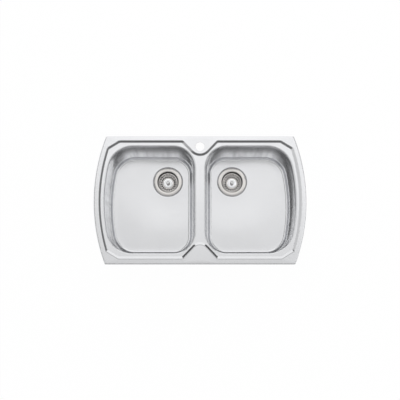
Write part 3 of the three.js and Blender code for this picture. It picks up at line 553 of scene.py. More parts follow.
@dataclass
class Skin:
    """Gathers grids of points into one closed mesh, in millimetres until it is made."""

    points: list[np.ndarray] = field(default_factory=list)
    quads: list[np.ndarray] = field(default_factory=list)
    wraps: list[np.ndarray] = field(default_factory=list)
    count: int = 0

    def grid(self, rows: np.ndarray, flip: bool = False, keep: np.ndarray | None = None) -> "Skin":
        """Adds a grid of quads that face along (column step) x (row step), closed round.

        Args:
            rows: Points, (rows, columns, 3). The last column runs on into the first.
            flip: True to face the other way.
            keep: Which quads to make, (rows - 1, columns); all if it is None.

        Returns:
            The skin itself.
        """
        rows = np.concatenate([rows, rows[:, :1]], 1)
        height, width = rows.shape[:2]
        index = np.arange(height * width).reshape(height, width) + self.count
        quads = np.stack([index[:-1, :-1], index[:-1, 1:], index[1:, 1:], index[1:, :-1]], -1)
        quads = (quads if keep is None else quads[keep]).reshape(-1, 4)
        self.quads.append(quads[:, ::-1] if flip else quads)
        self.points.append(rows.reshape(-1, 3))
        u = running(np.linalg.norm(np.diff(rows, axis=1), axis=2).mean(0))
        v = running(np.linalg.norm(np.diff(rows, axis=0), axis=2).mean(1))
        self.wraps.append(np.stack(np.meshgrid(u, v), -1).reshape(-1, 2))
        self.count += height * width
        return self

    def shell(self, rows: np.ndarray, normals: np.ndarray, sheet: float, first_edge: bool = False,
              last_edge: bool = False, keep: np.ndarray | None = None) -> "Skin":
        """Adds a sheet: the grid, and the same grid moved back along its normals.

        Args:
            rows: Points of the upper side, (rows, columns, 3).
            normals: The upper side's normals there.
            sheet: The thickness.
            first_edge: True to close the sheet along its first row.
            last_edge: True to close it along its last row.
            keep: Which quads to make.

        Returns:
            The skin itself.
        """
        under = rows - normals * sheet
        self.grid(rows, keep=keep).grid(under, flip=True, keep=keep)
        if first_edge:
            self.grid(np.stack([under[0], rows[0]]))
        if last_edge:
            self.grid(np.stack([rows[-1], under[-1]]))
        return self

    def lathe(self, line: np.ndarray, segments: int) -> "Skin":
        """Adds a body turned from a section (radius, z) that runs counter-clockwise."""
        angles = round_angles(segments)
        return self.grid(around(line[:, :1], line[:, 1], angles))

    def thread(self, low: float, high: float, radius: float, depth: float, pitch: float,
               segments: int) -> "Skin":
        """Adds a thread: at the angle a and the height z the radius is the crest's, less the
        depth times a rounded saw of (z / pitch - a / turn), and it fades at both ends.

        Args:
            low: The lower end.
            high: The upper end.
            radius: The radius of the crests.
            depth: The depth of the grooves.
            pitch: The rise in one turn.
            segments: How many columns go round.

        Returns:
            The skin itself.
        """
        rows = max(8, math.ceil((high - low) / pitch * 10))
        z, angles = np.linspace(low, high, rows + 1)[:, None], round_angles(segments)
        wave = 0.5 + 0.5 * np.cos(FULL_TURN * (z / pitch) - angles)
        fade = np.clip(np.minimum(z - low, high - z) / (0.6 * pitch), 0, 1)
        return self.grid(around(radius - depth * (1 - wave**0.7 * fade), z, angles))

    def hexagon(self, corner: float, low: float, high: float, bore: float, segments: int) -> "Skin":
        """Adds a nut or a bolt's head: a hexagon whose corners a cone cuts off at both ends. Its
        radius is a flat's distance over the cosine of the angle from the flat's middle.

        Args:
            corner: The radius to the corners.
            low: The lower end.
            high: The upper end.
            bore: The radius of the hole, or nothing.
            segments: How many columns go round.

        Returns:
            The skin itself.
        """
        angles, sector, cut = round_angles(segments), math.pi / 3, 0.1 * corner
        side = corner * math.cos(sector / 2) / np.cos(np.mod(angles, sector) - sector / 2)
        limits = [0.86 * corner, 0.93 * corner, corner]
        heights = [low, low + 0.4 * cut, low + cut, high - cut, high - 0.4 * cut, high]
        radii = np.stack([np.minimum(side, limit) for limit in (*limits, *limits[::-1])])
        inner = np.full((1, segments), bore)
        back = ([inner], [low]) if bore else ([], [])
        radii = np.concatenate([inner, radii, inner, *back[0]])
        return self.grid(around(radii, [low, *heights, high, *back[1]], angles))

    def moved(self, place: Callable[[np.ndarray], np.ndarray]) -> "Skin":
        """The skin with every point put through a function of all points."""
        return replace(self, points=[place(points) for points in self.points])

    def turned_over(self) -> "Skin":
        """The skin's mirror image across the YZ plane."""
        return replace(self, points=[points * MIRROR for points in self.points],
                       quads=[quads[:, ::-1] for quads in self.quads])

    def on(self, side: Side) -> "Skin":
        """The skin itself for the right half, and its mirror image for the left."""
        return self if side is Side.RIGHT else self.turned_over()

    def join(self, other: "Skin") -> "Skin":
        """This skin and another as one."""
        return Skin(self.points + other.points,
                    self.quads + [quads + self.count for quads in other.quads],
                    self.wraps + other.wraps, self.count + other.count)

    def make(self, name: str, material: Material, sharp: float = 38.0) -> Piece:
        """Welds the grids and makes the piece.

        Points in the same cell of a fine lattice become one, and a quad that has lost a corner
        that way becomes a triangle. Smooth shading stops at edges sharper than the angle given.

        Args:
            name: The piece's name.
            material: Its finish.
            sharp: The angle in degrees.

        Returns:
            The piece, at the origin.
        """
        points, quads, wraps = map(np.concatenate, (self.points, self.quads, self.wraps))
        cells = np.round(points / WELD + WELD_OFFSET).astype(np.int64)
        cells = (cells - cells.min(0)) @ np.array([1 << 42, 1 << 21, 1])
        _, first, welded = np.unique(cells, return_index=True, return_inverse=True)
        corners = welded.reshape(-1)[quads]
        fresh = corners != np.roll(corners, 1, axis=1)
        opposite = (corners[:, 0] == corners[:, 2]) | (corners[:, 1] == corners[:, 3])
        usable = (fresh.sum(1) >= 3) & ~opposite
        fresh, corners, wraps = fresh[usable], corners[usable], wraps[quads[usable]]
        size, loops = fresh.sum(1), corners[fresh]
        mesh = bpy.data.meshes.new(name)
        for part, count, key, values in (
                (mesh.vertices, len(first), "co", (points[first] * METRES).astype(np.float32).ravel()),
                (mesh.loops, len(loops), "vertex_index", loops.astype(np.int32)),
                (mesh.polygons, len(size), "loop_start", running(size)[:-1].astype(np.int32))):
            part.add(count)
            part.foreach_set(key, values)
        layer = mesh.uv_layers.new(name="wrap")
        layer.data.foreach_set("uv", (wraps[fresh] * METRES).astype(np.float32).ravel())
        mesh.update(calc_edges=True)
        mesh.validate()
        mesh.shade_smooth()
        mesh.set_sharp_from_angle(angle=math.radians(sharp))
        mesh.materials.append(material)
        return linked(name, mesh)


# ---- Shader nodes --------------------------------------------------------------------------


class Tree:
    """Short ways to add and join the nodes of a material, a world or a node group."""

    def __init__(self, tree: bpy.types.NodeTree) -> None:
        """Works on one node tree."""
        self.tree = tree

    def feed(self, node: bpy.types.Node, inputs: dict[str | int, object]) -> bpy.types.Node:
        """Joins other nodes' sockets to a node's inputs, or sets the inputs to values."""
        for key, value in inputs.items():
            if isinstance(value, Socket):
                self.tree.links.new(value, node.inputs[key])
            else:
                node.inputs[key].default_value = value
        return node

    def add(self, kind: str, inputs: dict[str | int, object] | None = None,
            **settings: object) -> bpy.types.bpy_prop_collection:
        """Adds a node.

        Args:
            kind: The node's type, without its first word.
            inputs: Values or other nodes' sockets for its inputs, by name or number.
            settings: Its other properties.

        Returns:
            The node's outputs.
        """
        node = self.tree.nodes.new("Shader" + kind)
        for name, value in settings.items():
            setattr(node, name, value)
        return self.feed(node, inputs or {}).outputs

    def math(self, operation: str, first: object, second: object = 0.0) -> Socket:
        """One step of arithmetic with values or sockets."""
        return self.add("NodeMath", {0: first, 1: second}, operation=operation)[0]

    def spread(self, value: Socket, low: float, high: float, start: float = 0.0, end: float = 1.0,
               ease: str = "LINEAR") -> Socket:
        """Carries a value from the range low to high onto the range start to end, clamped."""
        return self.add("NodeMapRange", {0: value, 1: low, 2: high, 3: start, 4: end},
                        interpolation_type=ease)[0]

    def tint(self, share: Socket, first: Socket | Color, last: Color) -> Socket:
        """A colour between two colours."""
        first = first if isinstance(first, Socket) else (*first, 1)
        return self.add("NodeMix", {0: share, 6: first, 7: (*last, 1)}, data_type="RGBA")[2]

    def scaled(self, vector: Socket, scale: Sequence[float], turn: float = 0.0) -> Socket:
        """A vector turned about Z and scaled on each axis."""
        return self.add("NodeMapping", {"Vector": vector, "Rotation": (0, 0, turn), "Scale": scale})[0]

    def noise(self, vector: Socket, scale: Socket | float, detail: float, roughness: float) -> Socket:
        """The value of a noise over a vector."""
        return self.add("NodeTexNoise", {"Vector": vector, "Scale": scale, "Detail": detail,
                                         "Roughness": roughness})[0]

    def bump(self, height: Socket, depth: float, under: Socket | None = None) -> Socket:
        """The normal of a relief of this depth in metres, over another relief if there is one."""
        normal = {} if under is None else {"Normal": under}
        return self.add("NodeBump", {"Height": height, "Strength": 1.0, "Distance": depth, **normal})[0]

    def shared(self, group: bpy.types.NodeTree, **inputs: object) -> bpy.types.bpy_prop_collection:
        """Places one of the shared groups, and gives its outputs."""
        return self.add("NodeGroup", inputs, node_tree=group)


class Group(Tree):
    """A shader node group in the making."""

    def __init__(self, name: str, **inputs: float | None) -> None:
        """Starts a group.

        Args:
            name: Its name.
            inputs: Its inputs by name: a value where there is a number, or else a vector.
        """
        super().__init__(bpy.data.node_groups.new(name, "ShaderNodeTree"))
        for label, value in inputs.items():
            kind = "NodeSocketVector" if value is None else "NodeSocketFloat"
            socket = self.tree.interface.new_socket(label, in_out="INPUT", socket_type=kind)
            if value is not None:
                socket.default_value = value
        self.given = self.tree.nodes.new("NodeGroupInput").outputs

    def finished(self, **outputs: Socket) -> bpy.types.NodeTree:
        """Joins a socket to each output.

        Args:
            outputs: The sockets, by the names of the outputs.

        Returns:
            The group's tree.
        """
        for label in outputs:
            self.tree.interface.new_socket(label, in_out="OUTPUT", socket_type="NodeSocketFloat")
        self.feed(self.tree.nodes.new("NodeGroupOutput"), outputs)
        return self.tree


def brushing_group() -> bpy.types.NodeTree:
    """Fine lines left by a brush: two noises of different length and width, each drawn out
    along one way of the vector given, and summed by their shares."""
    group = Group("brushed lines", Vector=None)
    lines = [group.math("MULTIPLY", group.noise(
        group.scaled(group.given["Vector"], (along, across, across)), 1.0, 2.0, 0.55), share)
        for along, across, share in ((12.0, 1900.0, 0.6), (40.0, 5200.0, 0.4))]
    return group.finished(Height=group.math("ADD", *lines))


def handling_group() -> bpy.types.NodeTree:
    """Where a surface was wiped and handled: broad soft clouds times finer smears."""
    group = Group("handling marks", Vector=None)
    clouds = group.noise(group.given["Vector"], 7.0, 3.0, 0.5)
    smears = group.noise(group.scaled(group.given["Vector"], (14, 60, 30), 0.5), 1.0, 4.0, 0.6)
    return group.finished(Mask=group.math("MULTIPLY", group.spread(clouds, 0.35, 0.68),
                                          group.spread(smears, 0.3, 0.7, 0.55, 1.0)))


def speckle_group() -> bpy.types.NodeTree:
    """Fine grain of moulded, foamed or pressed stuff: a noise and cells for its height, and
    the cells again as a mask for its darker spots."""
    group = Group("fine grain", Vector=None, Scale=400.0)
    noise = group.noise(group.given["Vector"], group.given["Scale"], 4.0, 0.65)
    cells = group.add("NodeTexVoronoi", {key: group.given[key] for key in ("Vector", "Scale")})
    spots = group.spread(cells[0], 0.05, 0.5)
    return group.finished(Height=group.math("ADD", group.math("MULTIPLY", noise, 0.6),
                                            group.math("MULTIPLY", spots, 0.4)), Spots=spots)


def streaks_group() -> bpy.types.NodeTree:
    """Upright streaks in a bowl's wall, fading out at its ends: noise over the direction from the
    bowl's middle, which hardly changes with the height, times the height's share within the wall.
    Their relief is what deep drawing leaves; their darker share is painted shade, standing in
    for the dark streaked reflections of the walls."""
    group = Group("drawing streaks and painted shade", Place=None)
    place = group.add("NodeSeparateXYZ", {0: group.given["Place"]})
    across = group.math("SUBTRACT", group.math("ABSOLUTE", place["X"]), BOWL_MIDDLE)
    flat = group.add("NodeCombineXYZ", {0: across, 1: place["Y"]})[0]
    way = group.add("NodeVectorMath", {0: flat}, operation="NORMALIZE")[0]
    side = group.add("NodeCombineXYZ", {0: group.math("SIGN", place["X"]),
                                        2: group.math("MULTIPLY", place["Z"], 0.4)})[0]
    noise = group.noise(group.add("NodeVectorMath", {0: way, 1: side}, operation="ADD")[0], 9.0, 3.0, 0.6)
    wall = group.math("MULTIPLY", group.spread(place["Z"], -0.188, -0.165),
                      group.spread(place["Z"], -0.006, -0.02))
    # painted shade: a darker colour along the streaks on the walls, in place of their dark streaked
    # reflections
    painted_shade = group.math("MULTIPLY", group.spread(noise, 0.40, 0.66), wall)
    return group.finished(Height=group.math("MULTIPLY", noise, wall), PaintedShade=painted_shade, Wall=wall)


class Pattern(Enum):
    """Where a metal's brushing runs: along the sink, or round the piece by its own map."""

    ALONG_SINK = "Object"
    ROUND_PIECE = "UV"


@dataclass
class Workshop:
    """The node groups that the finishes share."""

    brushing: bpy.types.NodeTree = field(default_factory=brushing_group)
    handling: bpy.types.NodeTree = field(default_factory=handling_group)
    speckle: bpy.types.NodeTree = field(default_factory=speckle_group)
    streaks: bpy.types.NodeTree = field(default_factory=streaks_group)


class Dress(Tree):
    """A material in the making."""

    def __init__(self, name: str, marks: bpy.types.NodeTree) -> None:
        """Starts a material, with its texture coordinates and the marks of handling.

        Args:
            name: Its name.
            marks: The group that makes the marks.
        """
        self.material = bpy.data.materials.new(name)
        self.material.use_nodes = True
        super().__init__(self.material.node_tree)
        self.place = self.add("NodeTexCoord")
        self.marks = self.shared(marks, Vector=self.place["Object"])["Mask"]

    def finished(self, inputs: dict[str, object]) -> Material:
        """Joins or sets the shader's inputs, and gives the material."""
        self.feed(self.tree.nodes["Principled BSDF"], inputs)
        return self.material


@dataclass(frozen=True)
class Metal:
    """A metal finish: brushing in its gloss and surface, and marks from handling.

    Where it has streaks, they smooth the wall and stand out in relief, and they darken the colour
    as painted shade for the walls' dark streaked reflections.
    """

    name: str
    color: Color
    worn: Color
    roughness: float
    roughness_change: float
    line_depth: float
    pattern: Pattern = Pattern.ALONG_SINK
    streak_depth: float = 0.0
    # the colour's share left in the painted shade along the streaks
    painted_streak_shade: float = 0.8
    streak_gloss: float = 0.07

    def make(self, shop: Workshop) -> Material:
        """Makes the material.

        Args:
            shop: Holds the shared node groups.

        Returns:
            The material.
        """
        dress = Dress(self.name, shop.handling)
        lines = dress.shared(shop.brushing, Vector=dress.place[self.pattern.value])["Height"]
        color = dress.tint(dress.marks, self.color, self.worn)
        change = self.roughness_change
        gloss = dress.math("ADD", dress.spread(lines, 0.3, 0.7, -change, change),
                           dress.spread(dress.marks, 0, 1, self.roughness, self.roughness + change))
        normal = dress.bump(lines, self.line_depth)
        if self.streak_depth:
            streaks = dress.shared(shop.streaks, Place=dress.place["Object"])
            # painted shade: the streaks darken the colour on the walls
            painted_shade = tuple(value * self.painted_streak_shade for value in self.color)
            color = dress.tint(streaks["PaintedShade"], color, painted_shade)
            smooth = dress.spread(streaks["Wall"], 0, 1, 0, self.streak_gloss)
            gloss = dress.math("SUBTRACT", gloss, smooth)
            normal = dress.bump(streaks["Height"], self.streak_depth, normal)
        return dress.finished({"Metallic": 1.0, "Base Color": color, "Roughness": gloss, "Normal": normal})


@dataclass(frozen=True)
class Moulded:
    """Rubber, foam, bitumen, fibre or plastic: a grain and lighter or darker spots."""

    name: str
    color: Color
    spots: Color
    roughness: float
    grain: float
    depth: float
    specular: float = 0.5

    def make(self, shop: Workshop) -> Material:
        """Makes the material.

        Args:
            shop: Holds the shared node groups.

        Returns:
            The material.
        """
        dress = Dress(self.name, shop.handling)
        grain = dress.shared(shop.speckle, Vector=dress.place["Object"], Scale=self.grain)
        share = dress.math("MULTIPLY", grain["Spots"], dress.spread(dress.marks, 0, 1, 0.4, 1.0))
        gloss = dress.spread(dress.marks, 0, 1, self.roughness - 0.08, self.roughness + 0.05)
        return dress.finished({"Base Color": dress.tint(share, self.color, self.spots), "Roughness": gloss,
                               "Specular IOR Level": self.specular,
                               "Normal": dress.bump(grain["Height"], self.depth)})


ROUND = Pattern.ROUND_PIECE
FINISHES: dict[str, Metal | Moulded] = {
    "satin_steel": Metal("satin steel", (0.82, 0.825, 0.84), (0.80, 0.805, 0.82), 0.13, 0.015, 1.2e-6),
    "brushed_steel": Metal("brushed steel", (0.80, 0.805, 0.82), (0.78, 0.785, 0.80), 0.18, 0.015,
                           1.2e-6, streak_depth=2.5e-4),
    "strainer_steel": Metal("strainer steel", (0.88, 0.885, 0.895), (0.84, 0.845, 0.85), 0.08, 0.02,
                            5e-7, ROUND),
    "polished_steel": Metal("polished steel", (0.74, 0.722, 0.70), (0.70, 0.68, 0.66), 0.13, 0.02,
                            1e-6, ROUND),
    "zinc_steel": Metal("zinc plate", (0.62, 0.64, 0.67), (0.55, 0.56, 0.56), 0.34, 0.06, 6e-6, ROUND),
    "black_rubber": Moulded("black rubber", (0.018, 0.018, 0.019), (0.03, 0.03, 0.031), 0.62, 900, 1e-5),
    "grey_foam": Moulded("grey foam", (0.10, 0.105, 0.11), (0.16, 0.165, 0.17), 0.92, 1500, 1.2e-4, 0.2),
    "sound_padding": Moulded("sound padding", (0.045, 0.046, 0.048), (0.07, 0.072, 0.075), 0.82, 700,
                             1e-4, 0.25),
    "red_fibre": Moulded("red fibre", (0.30, 0.075, 0.04), (0.38, 0.12, 0.07), 0.8, 1300, 3e-5, 0.3),
    "nut_plastic": Moulded("white plastic", (0.70, 0.70, 0.68), (0.74, 0.74, 0.73), 0.42, 1200, 5e-6),
}


# ---- The pressed sheets --------------------------------------------------------------------


@dataclass
class Pressing:
    """The deck and the bowls, and the lines that they share."""

    plan: SinkPlan = field(default_factory=SinkPlan)
    sheet: float = 1.0
    rim_height: float = 5.0
    rim_fall: float = 0.3
    bead_height: float = 0.8
    bead_width: float = 2.2
    edge_clearance: float = 0.3
    roll_radius: float = 3.5
    ledge_z: float = -2.0
    step_radius: float = 2.5
    weld_flange: float = 2.0
    spacing: float = 4.0
    hole_radius: float = 17.5
    hole_y: float = 213.5
    hole_chamfer: float = 0.3
    patch_reach: float = 46.0
    bowl_heart: tuple[float, float] = (199.0, 2.0)
    bowl_top_radius: float = 5.0
    bowl_floor_radius: float = 12.0
    wall_belly: float = 2.4
    long_wall_belly: float = 2.0
    belly_margin: float = 4.0
    draft: float = math.radians(5)
    floor_edge_z: float = -189.0
    floor_z: float = -192.0
    fall_reach: float = 150.0
    dish_z: float = -195.5
    drain: tuple[float, float] = (132.0, 102.0)
    floor_ring: float = 67.5
    dish_radius: float = 61.5
    dish_foot: float = 59.5
    dish_bend: float = 1.2
    waste_hole: float = 45.0
    pad_size: tuple[float, float] = (190.0, 150.0)
    pad_middle: tuple[float, float] = (208.5, -52.5)
    pad_corner: float = 20.0
    pad_thickness: float = 2.9
    pad_pitch: float = 12.0
    pad_emboss: float = 0.22

    def step_rows(self) -> tuple[np.ndarray, np.ndarray, np.ndarray, tuple[int, int]]:
        """The deck's upper side from its outer edge to the foot of the step.

        The edge's section goes along the deck's outline, the step's along the step's outline,
        and the rim between them, which falls a little outwards from a bead along the step, is
        filled in with straight rows.

        Returns:
            The points, their normals, the columns' angles, and the first and last row of the
            flat rim.
        """
        angles = self.plan.columns(self.spacing)
        flat, run = self.rim_height - self.bead_height, self.plan.step_run
        shoulder = flat - self.rim_fall
        edge = section([(0, self.edge_clearance), (0, shoulder, self.roll_radius),
                        (self.roll_radius, shoulder)])
        step = section([(-self.bead_width - 1, flat), (-self.bead_width, flat, 0.3),
                        (-0.9, self.rim_height, 0.4), (0, self.rim_height, 0.9),
                        (run, self.ledge_z, self.step_radius), (run + 2, self.ledge_z)], degrees=6)
        deck_base, deck_in = self.plan.deck().cast((0, 0), angles)
        step_base, step_in = self.plan.step().cast((0, 0), angles)
        outer, inner = swept(deck_base, deck_in, edge), swept(step_base, step_in, step)
        rim = blend(outer[-1], inner[0], np.linspace(0, 1, 6)[1:-1])
        rows = np.concatenate([outer, rim, inner])
        normals = np.concatenate([up_normals(deck_in, edge, (-1,)), np.broadcast_to(UP, rim.shape),
                                  up_normals(step_in, step)])
        return rows, normals, angles, (len(outer) - 1, len(outer) + len(rim))

    def ledge_ring(self, foot: np.ndarray, angles: np.ndarray) -> tuple[np.ndarray, ...]:
        """The edge of the right half of the ledge, and what lies across from it on the bowl.

        Args:
            foot: The row of points at the foot of the step.
            angles: The columns' angles about the origin.

        Returns:
            The points, counter-clockwise, and the bowl's outline and its inward normals in
            their directions from the middle of the bowl.
        """
        half = foot[: int((angles <= QUARTER).sum()), :2].copy()
        half[[0, -1], 0] = 0
        count = math.ceil((half[-1, 1] - half[0, 1]) / self.spacing)
        down = np.linspace(half[-1, 1], half[0, 1], count + 1)[1:-1]
        ring = np.concatenate([half, np.stack([np.zeros_like(down), down], -1)])
        return ring, *self.plan.bowl().cast(self.bowl_heart, angles_of(ring, self.bowl_heart))

    def tap_hole(self, loop: np.ndarray) -> np.ndarray:
        """Rows from a patch's edge in to the tap hole, through it, and out underneath.

        Args:
            loop: The patch's edge on the upper side, counter-clockwise.

        Returns:
            The rows, closed round their columns.
        """
        centre = at(0, self.hole_y)
        out = circle(angles_of(loop[:, :2], centre))
        top = float((loop[:, 2].min() + loop[:, 2].max()) / 2)
        low, bevel = top - self.sheet, self.hole_chamfer
        lip, *wall, under = (raised(centre + radius * out, height) for radius, height in (
            (self.hole_radius + bevel, top), (self.hole_radius, top - bevel),
            (self.hole_radius, low + bevel), (self.hole_radius + bevel, low)))
        shares = np.linspace(0, 1, 6)
        return np.concatenate([blend(loop, lip, shares), np.stack(wall),
                               blend(under, loop - self.sheet * UP, shares)])

    def deck(self, material: Material) -> Piece:
        """The deck: the rim with its rolled edge, the step, the ledge and the tap hole.

        The quads of the rim's flat rows are left out round the tap hole, and the hole's patch
        fills them. The ledge is straight rows from the foot of the step to the bowls' edges.

        Args:
            material: Its finish.

        Returns:
            The piece.
        """
        rows, normals, angles, (outer, inner) = self.step_rows()
        near = (np.abs(rows[inner, :, 0]) < self.patch_reach) & (rows[inner, :, 1] > 0)
        first, last = np.flatnonzero(near)[[0, -1]]
        keep = np.ones((len(rows) - 1, rows.shape[1]), bool)
        keep[outer:inner, first:last] = False
        loop = np.concatenate([rows[outer, first:last + 1], rows[outer + 1:inner, last],
                               rows[inner, first:last + 1][::-1],
                               rows[outer + 1:inner, first][::-1]])
        skin = Skin().shell(rows, normals, self.sheet, first_edge=True, keep=keep)
        skin.grid(self.tap_hole(loop))
        ring, base, inward = self.ledge_ring(rows[-1], angles)
        ledge = blend(raised(ring, self.ledge_z),
                      raised(base - self.weld_flange * inward, self.ledge_z), np.linspace(0, 1, 5))
        half = Skin().shell(ledge, np.broadcast_to(UP, ledge.shape), self.sheet, last_edge=True)
        return skin.join(half).join(half.turned_over()).make("deck_sheet", material)

    def floor_height(self, away: np.ndarray) -> np.ndarray:
        """The floor's height: with the distance from the drain it rises from the flat ring
        round the dish by 3 s^2 - 2 s^3 of the whole fall, where s is the share of the way out."""
        share = np.clip((away - self.floor_ring) / self.fall_reach, 0, 1)
        return self.floor_z + (self.floor_edge_z - self.floor_z) * share**2 * (3 - 2 * share)

    def wall_line(self) -> tuple[np.ndarray, np.ndarray]:
        """The bowl's section from its weld flange over the top edge down to the floor.

        The wall leans inwards by the draft and touches the top edge's rounding, whose centre is
        under the start of the roll. The draw leaves it a slight belly: at the share s of the
        depth it stands out by the belly times sin^2(pi s).

        Returns:
            The section, and each point's share of the depth.
        """
        lean = math.tan(self.draft)
        start = self.bowl_top_radius * (1 - math.sin(self.draft)) / math.cos(self.draft)
        end = start + (self.ledge_z - self.floor_edge_z) * lean
        foot = end + self.bowl_floor_radius * math.tan((QUARTER - self.draft) / 2)
        line = divided(section([(-self.weld_flange, self.ledge_z),
                                (start, self.ledge_z, self.bowl_top_radius),
                                (end, self.floor_edge_z, self.bowl_floor_radius),
                                (foot, self.floor_edge_z)], degrees=6), 2 * self.spacing)
        margin = self.belly_margin
        share = np.clip((self.ledge_z - margin - line[:, 1])
                        / (self.ledge_z - 2 * margin - self.floor_edge_z), 0, 1)
        line[:, 0] -= self.wall_belly * np.sin(math.pi * share) ** 2
        return line, share

    def bowl(self, side: Side, material: Material) -> Piece:
        """A bowl: its flange and wall, the falling floor, and the dish with the waste's hole.

        The back and front walls stand out further, by 4 s (1 - s) of their own belly times the
        square of the inward direction's Y.

        Args:
            side: Which bowl.
            material: Its finish.

        Returns:
            The piece.
        """
        rows, _, angles, _ = self.step_rows()
        _, base, inward = self.ledge_ring(rows[-1], angles)
        line, share = self.wall_line()
        wall = swept(base, inward, line)
        belly = self.long_wall_belly * (4 * share * (1 - share))[:, None] * inward[None, :, 1] ** 2
        wall[..., :2] -= belly[..., None] * inward[None]
        drain = np.asarray(self.drain)
        out = wall[-1, :, :2] - drain
        reach = np.linalg.norm(out, axis=1)
        out = out / reach[:, None]
        roll_z = self.ledge_z - self.bowl_top_radius
        depth = np.maximum(roll_z - line[:, 1], 0) / (roll_z - self.floor_edge_z)
        wall[..., 2] += depth[:, None] * (self.floor_height(reach) - self.floor_edge_z)[None]
        shares = np.linspace(0, 1, 17)[1:]
        away = reach[None] + shares[:, None] * (self.floor_ring - reach)[None]
        floor = np.concatenate([drain + out[None] * away[..., None],
                                self.floor_height(away)[..., None]], -1)
        dip = section([(self.floor_ring - radius, *rest) for radius, *rest in (
            (self.floor_ring, self.floor_z), (self.dish_radius, self.floor_z, self.dish_bend),
            (self.dish_foot, self.dish_z, self.dish_bend), (self.waste_hole, self.dish_z))], degrees=10)
        dish = swept(drain + self.floor_ring * out, -out, dip)
        rows = np.concatenate([wall, floor, dish[1:]])
        normals = np.concatenate([up_normals(inward, line), np.broadcast_to(UP, floor.shape),
                                  up_normals(-out, dip)[1:]])
        skin = Skin().shell(rows, normals, self.sheet, first_edge=True, last_edge=True)
        return skin.on(side).make(f"{side.word}_bowl_shell", material, sharp=50)

    def pad(self, side: Side, material: Material) -> Piece:
        """The sound pad: it follows the floor above it, and its face is embossed in squares.

        A point of the plan is the pad's middle plus a share of the way to its outline; the
        embossing is the product of two cosines of the plan's X and Y, cut off at a level.

        Args:
            side: Which bowl it is under.
            material: Its finish.

        Returns:
            The piece.
        """
        middle, corner = np.array(self.pad_middle), self.pad_corner
        half = np.array(self.pad_size) / 2 - corner
        arcs = [Arc(middle + half * at(*sign), corner, (turn - 1) * QUARTER, QUARTER)
                for turn, sign in enumerate(((1, -1), (1, 1), (-1, 1), (-1, -1)))]
        lines = [Line(arc.points(2)[-1], after.points(2)[0])
                 for arc, after in zip(arcs, arcs[1:] + arcs[:1])]
        loop, _ = Outline((*arcs, *lines)).cast(middle, np.linspace(0, FULL_TURN, 240, endpoint=False))

        def rows(shares: np.ndarray, drop: float, emboss: float = 0.0) -> np.ndarray:
            """Rows of the pad under the floor, at shares of the way out from its middle."""
            plan = middle + shares[:, None, None] * (loop - middle)[None]
            floor = self.floor_height(np.linalg.norm(plan - np.asarray(self.drain), axis=-1))
            wave = np.cos(plan / self.pad_pitch * math.pi).prod(-1)
            height = floor - self.sheet - 0.02 - drop + emboss * np.clip(wave * 4, -1, 1)
            return np.concatenate([plan, height[..., None]], -1)

        inner = np.linspace(0, 0.985, 36)
        skin = Skin().grid(np.concatenate([
            rows(inner, self.pad_thickness, self.pad_emboss),
            rows(at(0.995, 1), self.pad_thickness - 0.2), rows(at(1), 0.3), rows(inner[::-1], 0)]))
        return skin.on(side).make(f"{side.word}_sound_pad_sheet", material)

    def seal(self, material: Material) -> Piece:
        """The foam strip under the rim: a section with two ribs carried round the deck.

        Args:
            material: Its finish.

        Returns:
            The piece.
        """
        base, inward = self.plan.deck().cast((0, 0), self.plan.columns(self.spacing))
        line = closed_section([(4, 2.85, 0.6), (13, 3.05, 0.6), (13, 0, 0.8), (10.2, 0, 0.8),
                               (9.2, 0.7, 0.6), (7.8, 0.7, 0.6), (6.8, 0, 0.8), (4, 0, 0.8)], 20)
        return Skin().grid(swept(base, inward, line)).make("rim_seal_strip", material)


# ---- Waste and strainer --------------------------------------------------------------------


